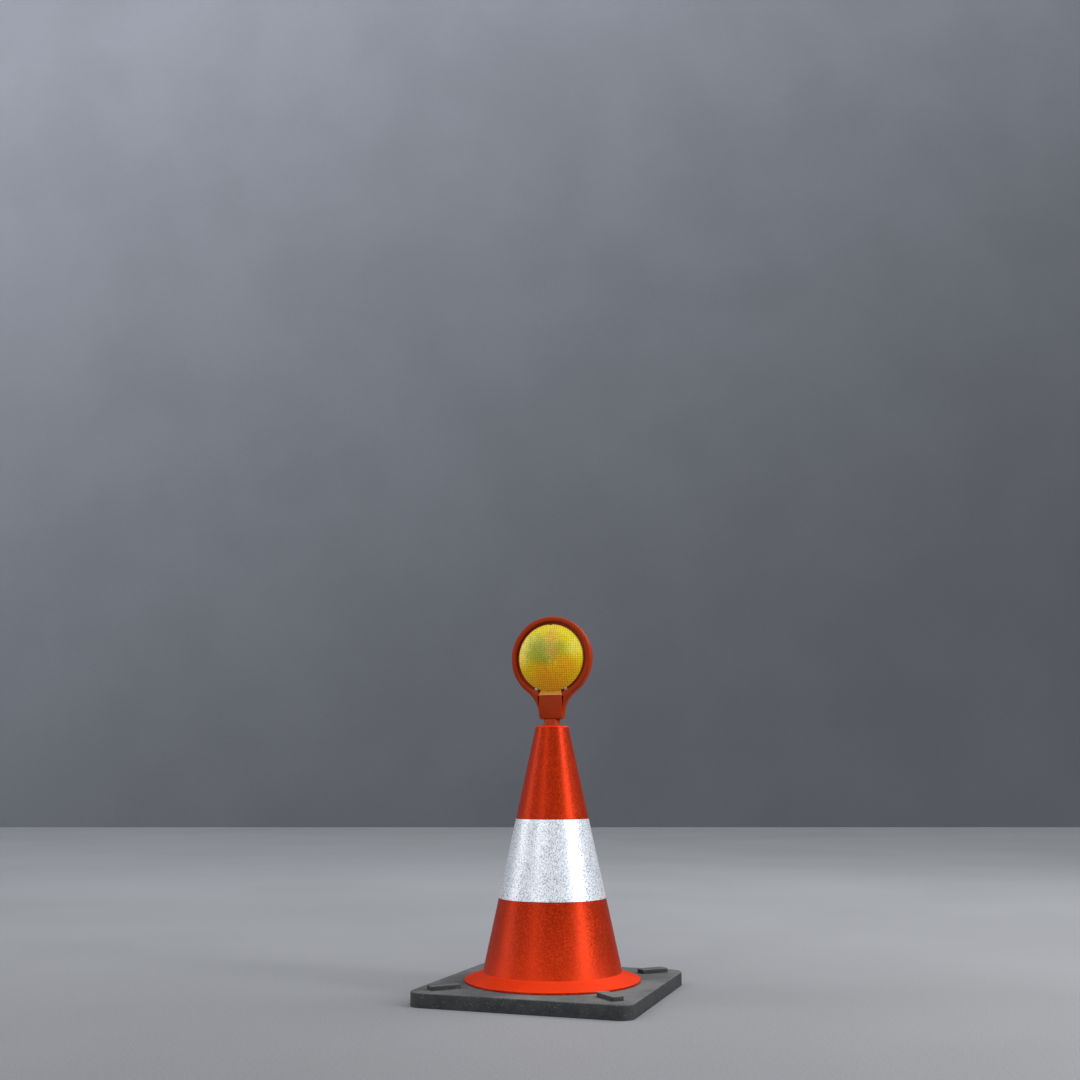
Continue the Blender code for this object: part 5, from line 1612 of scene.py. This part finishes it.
@dataclass
class LampInterior:
    """Board, reflectors, light-emitting diodes and the parts on the board."""

    def build(self, dresser: Dresser) -> None:
        """Makes every part inside the lamp."""
        board = Span("circuit_board")
        half = board.size.y / 2
        edge = 0.0002
        radius = board.high.x
        profile = [(0, -half), (radius - edge, -half), (radius, edge - half)]
        profile += [(radius, half - edge), (radius - edge, half), (0, half)]
        disc = turned("board", profile, Segments.MEDIUM)
        for angle in range(45, 360, 90):
            x, y = 0.046 * math.cos(math.radians(angle)), 0.046 * math.sin(math.radians(angle))
            cut(disc, moved(drum("hole", 0.0016, -REACH, REACH, Segments.TINY), x, y))
        dresser.put(smooth(place(disc, FRONT)), "circuit_board")
        for name, side in (("front", FRONT), ("rear", REAR)):
            self.light(dresser, name, side)
        self.round_part(dresser, "capacitor", "timing_capacitor", 0.0006)
        self.round_part(dresser, "light_sensor", "photocell", 0.0004)

    def light(self, dresser: Dresser, name: str, side: Matrix) -> None:
        """Makes one side's reflector bowl and diode."""
        bowl = Span(f"{name}_reflector")
        mouth = bowl.high.x - 0.001
        throat = 0.0035
        start = min(abs(bowl.low.y), abs(bowl.high.y))
        deep = bowl.size.y
        rise = deep / (mouth**2 - throat**2)
        steps = 10
        inside = []
        for step in range(steps + 1):
            r = throat + (mouth - throat) * step / steps
            inside.append((r, start + rise * (r**2 - throat**2)))
        outside = [(r + 0.001, z) for r, z in reversed(inside)]
        made = turned(f"{name}_bowl", [*inside, *outside, inside[0]], Segments.SMALL)
        dresser.put(smooth(place(made, side)), f"{name}_reflector")
        led = Span(f"{name}_led")
        top = max(abs(led.low.y), abs(led.high.y))
        body = 0.0025
        lamp = [(0, start), (led.high.x, start), (led.high.x, start + 0.001), (body, start + 0.001)]
        lamp += arc((0, top - body), body, 0, 90, 8)
        dresser.put(smooth(place(turned(f"{name}_diode", lamp, Segments.TINY), side)), f"{name}_led")

    def round_part(self, dresser: Dresser, name: str, node: str, edge: float) -> None:
        """Makes a round part with a soft rim that stands on the board's front."""
        box = Span(node)
        low, high = -box.high.y, -box.low.y
        radius = box.size.x / 2
        profile = [(0, low), (radius, low), (radius, high - edge), (radius - edge, high)]
        profile += [(radius * 0.6, high), (radius * 0.55, high - edge / 2), (0, high - edge / 2)]
        made = turned(name, profile, Segments.SMALL)
        moved(made, box.middle.x, box.middle.z - LAMP_CENTRE.z)
        dresser.put(smooth(place(made, FRONT)), node)


@dataclass
class BatteryBay:
    """Cells and springs behind the door."""

    nub: float = 0.001
    nub_radius: float = 0.0026
    wire: float = 0.00035
    turns: float = 2.5

    def build(self, dresser: Dresser) -> None:
        """Makes both cells and both springs."""
        for hand, up in (("left", True), ("right", False)):
            self.cell(dresser, hand, up)
            self.spring(dresser, hand)

    def cell(self, dresser: Dresser, hand: str, up: bool) -> None:
        """Makes a cell with a wrapped can, a crimped rim and a nub.

        Args:
            dresser: Hands the piece over.
            hand: left or right.
            up: Whether the nub looks up.
        """
        box = Span(f"battery_{hand}")
        radius = box.size.x / 2
        length = box.size.z - self.nub
        edge = 0.0007
        profile = [(0, 0), (radius - edge, 0), *arc((radius - edge, edge), edge, -90, 0, 3)]
        profile += [(radius, length - edge), *arc((radius - edge, length - edge), edge, 0, 90, 3)]
        dip = length - 0.0004
        profile += [(radius * 0.75, length), (radius * 0.72, dip), (self.nub_radius * 1.3, dip)]
        profile += [(self.nub_radius, length), (self.nub_radius, length + self.nub), (0, length + self.nub)]
        made = turned(f"cell_{hand}", profile, Segments.SMALL)
        moved(made, 0, 0, -box.size.z / 2)
        turn = Matrix.Identity(4) if up else Matrix.Rotation(math.pi, 4, "X")
        place(made, Matrix.Translation(box.middle) @ turn)
        dresser.put(smooth(made), f"battery_{hand}")

    def spring(self, dresser: Dresser, hand: str) -> None:
        """Makes a coil spring by screwing a small ring of wire.

        Args:
            dresser: Hands the piece over.
            hand: left or right.
        """
        box = Span(f"battery_spring_{hand}")
        ring = box.size.x / 2 - self.wire
        clear_selection()
        bpy.ops.mesh.primitive_circle_add(
            vertices=8,
            radius=self.wire,
            fill_type="NOTHING",
            location=(0, 0, 0),
        )
        made = bpy.context.object
        made.name = made.data.name = f"coil_{hand}"
        place(made, Matrix.Translation((ring, 0, 0)) @ Matrix.Rotation(math.pi / 2, 4, "X"))
        change = made.modifiers.new("Turns", "SCREW")
        change.angle = math.tau * self.turns
        change.screw_offset = box.size.z - 2 * self.wire
        change.steps = change.render_steps = int(24 * self.turns)
        bpy.ops.object.modifier_apply(modifier=change.name)
        with editing(made):
            bpy.ops.mesh.fill_holes(sides=0)
        tidy_mesh(made)
        moved(made, box.middle.x, box.middle.y, box.low.z + self.wire)
        dresser.put(smooth(made), f"battery_spring_{hand}")


ACROSS = Matrix(((0, 0, 1, 0), (1, 0, 0, 0), (0, 1, 0, 0), (0, 0, 0, 1)))  # stands a (y, z) section across x


@dataclass
class BatteryDoor:
    """Hinged door of the battery case, with its quarter-turn lock."""

    half: float = 0.0195
    thickness: float = 0.002
    face: float = 0.014
    edge: float = 0.0006
    knuckle: float = 0.0018
    knuckle_half: float = 0.0077
    pin: float = 0.0011
    shank: float = 0.0016
    groove_half: float = 0.011
    groove_width: float = 0.0012
    groove_depth: float = 0.0006
    groove_start: float = 0.0085
    groove_pitch: float = 0.0026
    head_edge: float = 0.0007
    flutes: int = 12
    flute: float = 0.0005
    slot_half: float = 0.0006
    slot_depth: float = 0.0009

    def build(self, dresser: Dresser) -> None:
        """Makes the door and its lock."""
        door, seal, pin = Span("battery_door"), Span("door_seal"), Span("door_hinge_pin")
        low, high = seal.low.z - GAP - LAMP_CENTRE.z, door.high.z - LAMP_CENTRE.z
        outline = [(x, y + (low + high) / 2) for x, y in rounded(self.half, (high - low) / 2, 0.0012, 3)]
        panel = slab("door_panel", outline, self.face - self.thickness, self.face)
        bevel(panel, lambda a, b: min(a.z, b.z) > self.face - MERGE, self.edge, 3)
        hinge_y, hinge_u = pin.middle.z - LAMP_CENTRE.z, pin.middle.y
        top = hinge_u + self.knuckle
        leaf = [
            (hinge_y, self.face + GAP),
            (hinge_y, top),
            (low + self.knuckle, top),
            (low + 0.0045, self.face - self.edge),
            (low + self.edge, self.face - self.edge),
            (low + self.edge, self.face + GAP),
        ]
        tab = place(slab("leaf", leaf, -self.knuckle_half, self.knuckle_half), ACROSS)
        along = Matrix.Translation((0, hinge_y, hinge_u)) @ Matrix.Rotation(math.pi / 2, 4, "Y")
        barrel = place(drum("barrel", self.knuckle, -self.knuckle_half, self.knuckle_half), along)
        join(panel, tab, barrel)
        reach = self.knuckle_half + REACH
        cut(panel, place(drum("bore", self.pin, -reach, reach, Segments.TINY), along))
        lock_y = Span("lock_knob").middle.z - LAMP_CENTRE.z
        outside = self.face + REACH
        bore = drum("lock_bore", self.shank + GAP, self.face - 2 * self.thickness, outside)
        cut(panel, moved(bore, 0, lock_y))
        for step in range(4):
            y = low + self.groove_start + self.groove_pitch * step
            corner = (self.groove_half, y + self.groove_width, outside)
            cut(panel, block("groove", (-self.groove_half, y, self.face - self.groove_depth), corner))
        dresser.put(smooth(place(panel, REAR)), "battery_door")
        self.knob(dresser, lock_y)

    def knob(self, dresser: Dresser, lock_y: float) -> None:
        """Makes the slotted head of the lock.

        Args:
            dresser: Hands the piece over.
            lock_y: Height of its axis above the lens centre.
        """
        box = Span("lock_knob")
        low, high = box.low.y, box.high.y
        head = box.size.x / 2
        seat = self.face + GAP
        edge = self.head_edge
        profile = [(0, low), (self.shank, low), (self.shank, seat), (head, seat), (head, high - edge)]
        profile += [*arc((head - edge, high - edge), edge, 0, 90, 4), (0, high)]
        knob = turned("door_lock_head", profile, Segments.SMALL)
        corner = (-2 * head, -self.slot_half, high - self.slot_depth)
        cut(knob, block("slot", corner, (2 * head, self.slot_half, high + REACH)))
        for step in range(self.flutes):
            flute = moved(drum("flute", self.flute, seat - REACH, high + REACH, Segments.TINY), head + 0.0002)
            cut(knob, place(flute, Matrix.Rotation(math.tau * (step + 0.5) / self.flutes, 4, "Z")))
        moved(knob, 0, lock_y)
        dresser.put(smooth(place(knob, REAR)), "lock_knob")


@dataclass
class PowerButton:
    """Rubber button in a raised bezel above the door."""

    flange_depth: float = 0.001
    body: float = 0.0025
    rim_edge: float = 0.0004

    def build(self, dresser: Dresser) -> None:
        """Makes the button and its bezel."""
        box, rim = Span("power_button"), Span("button_bezel")
        height = box.middle.z - LAMP_CENTRE.z
        low, high = box.low.y, box.high.y
        flange, shelf = box.size.x / 2, low + self.flange_depth
        body = self.body
        profile = [(0, low), (flange, low), (flange, shelf), (body, shelf), (body, high - 0.0006)]
        profile += [(body - 0.0002, high - 0.0002), (body - 0.0007, high)]
        profile += [(body * 0.4, high - 0.0003), (0, high - 0.0004)]
        cap = moved(turned("button_cap", profile, Segments.SMALL), 0, height)
        dresser.put(smooth(place(cap, REAR)), "power_button")
        inner, outer = body + GAP, rim.size.x / 2
        low, high = rim.low.y, rim.high.y
        edge = self.rim_edge
        section = [(inner, low), (outer, low), (outer, high - edge), (outer - edge, high)]
        section += [(inner + edge, high), (inner, high - edge), (inner, low)]
        bezel = moved(turned("bezel", section, Segments.SMALL), 0, height)
        dresser.put(smooth(place(bezel, REAR)), "button_bezel")


@dataclass(frozen=True)
class PaintedLightFade:
    """Painted light: a slow change of tone along a direction, from a low tone at the start to a high tone at the
    end.
    """

    along: tuple[float, float, float]
    start: float
    end: float
    low: float
    high: float
    bend: float = 1.0


@dataclass
class Studio:
    """Pale floor and plain wall with painted light on both, soft lights and the camera."""

    camera_place: tuple[float, float, float] = (0.74444, -2.25485, 0.38717)
    camera_turn: tuple[float, float, float] = (101.559, 0.0, 18.844)
    lens: float = 39.87
    wall_distance: float = 11.4

    def build(self) -> None:
        """Makes the whole studio."""
        self.camera()
        self.world()
        self.surfaces()
        self.lights()
        view = bpy.context.scene.view_settings
        view.view_transform = "Standard"

    def camera(self) -> None:
        """Places the camera."""
        made = bpy.data.cameras.new("camera")
        made.lens = self.lens
        made.sensor_width = 36.0
        made.clip_end = 100.0
        camera = bpy.data.objects.new("camera", made)
        camera.location = self.camera_place
        camera.rotation_euler = [math.radians(angle) for angle in self.camera_turn]
        bpy.context.scene.collection.objects.link(camera)
        bpy.context.scene.camera = camera

    def world(self) -> None:
        """Even grey surroundings."""
        world = bpy.data.worlds.new("studio")
        world.use_nodes = True
        wire = Wiring(world.node_tree)
        shade = world.node_tree.nodes["Background"]
        up = wire.node("SeparateXYZ", {0: wire.node("TexCoord").outputs["Generated"]}).outputs[2]
        share = wire.spread(up, 0.0, 0.95)
        wire.feed(shade.inputs["Color"], wire.blend(share, (0.24, 0.26, 0.29, 1.0), (1.50, 1.54, 1.60, 1.0)))
        shade.inputs["Strength"].default_value = 1.0
        bpy.context.scene.world = world

    def surfaces(self) -> None:
        """Makes the floor and the wall."""
        clear_selection()
        bpy.ops.mesh.primitive_grid_add(x_subdivisions=8, y_subdivisions=8, size=60, location=(0, 0, 0))
        floor = bpy.context.object
        floor.name = floor.data.name = "studio_floor"
        turn = math.radians(self.camera_turn[2])
        away = Vector((-math.sin(turn), math.cos(turn), 0))
        nearest = away.dot(Vector((*self.camera_place[:2], 0)))
        # Painted light on the floor: darker near the camera, lighter further away.
        depth = PaintedLightFade(tuple(away), nearest + 1.6, nearest + 5.0, 0.66, 1.2)
        floor.data.materials.append(self.plaster("floor_paint", (0.26, 0.262, 0.27), 0.7, depth))
        middle = Vector((*self.camera_place[:2], 0)) + away * self.wall_distance
        clear_selection()
        bpy.ops.mesh.primitive_grid_add(x_subdivisions=8, y_subdivisions=8, size=40, location=(0, 0, 0))
        wall = bpy.context.object
        wall.name = wall.data.name = "studio_wall"
        lift = Matrix.Translation(middle + Vector((0, 0, 20)))
        place(wall, lift @ Matrix.Rotation(turn, 4, "Z") @ Matrix.Rotation(math.pi / 2, 4, "X"))
        # Painted light on the wall: lighter towards the upper left, darker towards the lower right.
        corner = Vector((-0.25 * math.cos(turn), -0.25 * math.sin(turn), 0.5))
        level = corner.dot(middle)
        painted_glow = PaintedLightFade(tuple(corner), level - 0.5, level + 5.2, 0.36, 1.45, 1.8)
        wall.data.materials.append(self.plaster("wall_paint", (0.42, 0.435, 0.48), 0.85, painted_glow))

    def plaster(self, name: str, colour: Colour, roughness: float, fade: PaintedLightFade) -> bpy.types.Material:
        """A painted surface with fine speckle, and painted light as a slow change of tone.

        Args:
            name: Name of the material.
            colour: Its colour.
            roughness: Its roughness.
            fade: How its painted light changes the tone.

        Returns:
            The material.
        """
        made = bpy.data.materials.new(name)
        made.use_nodes = True
        wire = Wiring(made.node_tree)
        shader = made.node_tree.nodes["Principled BSDF"]
        place_in = wire.place()
        speck = wire.spread(wire.noise(place_in, 240.0, 3.0, 0.7), 0.3, 0.7, 0.88, 1.12)
        slow = wire.spread(wire.noise(place_in, 1.1, 3.0, 0.5), 0.3, 0.7, 0.96, 1.04)
        along = wire.vector("DOT_PRODUCT", place_in, fade.along, out="Value")
        share = wire.node("MapRange", {0: along, 1: fade.start, 2: fade.end}).outputs[0]
        bent = wire.math("POWER", share, fade.bend)
        painted_light_tone = wire.math("MULTIPLY_ADD", bent, fade.high - fade.low, fade.low)
        tone = wire.math("MULTIPLY", wire.math("MULTIPLY", speck, slow), painted_light_tone)
        painted = wire.node("HueSaturation", {"Color": opaque(colour), "Value": tone}).outputs[0]
        wire.feed(shader.inputs["Base Color"], painted)
        shader.inputs["Roughness"].default_value = roughness
        return made

    def lights(self) -> None:
        """Places the soft lights: a key behind on the right and strips that streak the cone."""
        self.soft_box("key", azimuth=46, rise=46, distance=3.4, size=(1.8, 1.8), power=55)
        self.soft_box("right_strip", azimuth=-10, rise=22, distance=2.8, size=(0.5, 1.8), power=44)
        self.soft_box("front_strip", azimuth=-106, rise=24, distance=3.6, size=(0.35, 2.2), power=18)
        self.soft_box("left_strip", azimuth=-162, rise=20, distance=3.0, size=(0.5, 2.0), power=18)

    def soft_box(
        self,
        name: str,
        azimuth: float,
        rise: float,
        distance: float,
        size: Point,
        power: float,
    ) -> None:
        """Places a rectangular light that looks at the middle of the object.

        Args:
            name: Name of the light.
            azimuth: Its direction from the object, in degrees from +X.
            rise: Its height, in degrees above the floor.
            distance: Its distance.
            size: Width and height.
            power: Power in watts.
        """
        target = Vector((0, 0, 0.35))
        level = math.cos(math.radians(rise))
        angle = math.radians(azimuth)
        aim = Vector((level * math.cos(angle), level * math.sin(angle), math.sin(math.radians(rise))))
        made = bpy.data.lights.new(name, "AREA")
        made.shape = "RECTANGLE"
        made.size, made.size_y = size
        made.energy = power
        light = bpy.data.objects.new(name, made)
        light.location = target + aim * distance
        light.rotation_euler = aim.to_track_quat("Z", "Y").to_euler()
        light.visible_camera = False
        bpy.context.scene.collection.objects.link(light)


def main() -> None:
    """Builds the object piece by piece, then the studio."""
    logging.basicConfig(level=logging.INFO, format="%(message)s")
    dresser = Dresser()
    Studio().build()
    RubberBase().build(dresser)
    TrafficCone().build(dresser)
    SwivelCollar().build(dresser)
    sizes = LampSizes()
    LampHousing(sizes).build(dresser)
    LampStem().build(dresser)
    PrismLens(sizes).build(dresser)
    Fasteners(sizes).build(dresser)
    LampInterior().build(dresser)
    BatteryBay().build(dresser)
    BatteryDoor().build(dresser)
    PowerButton().build(dresser)
    dresser.dress_kept()
    clear_selection()


if __name__ == "__main__":
    main()
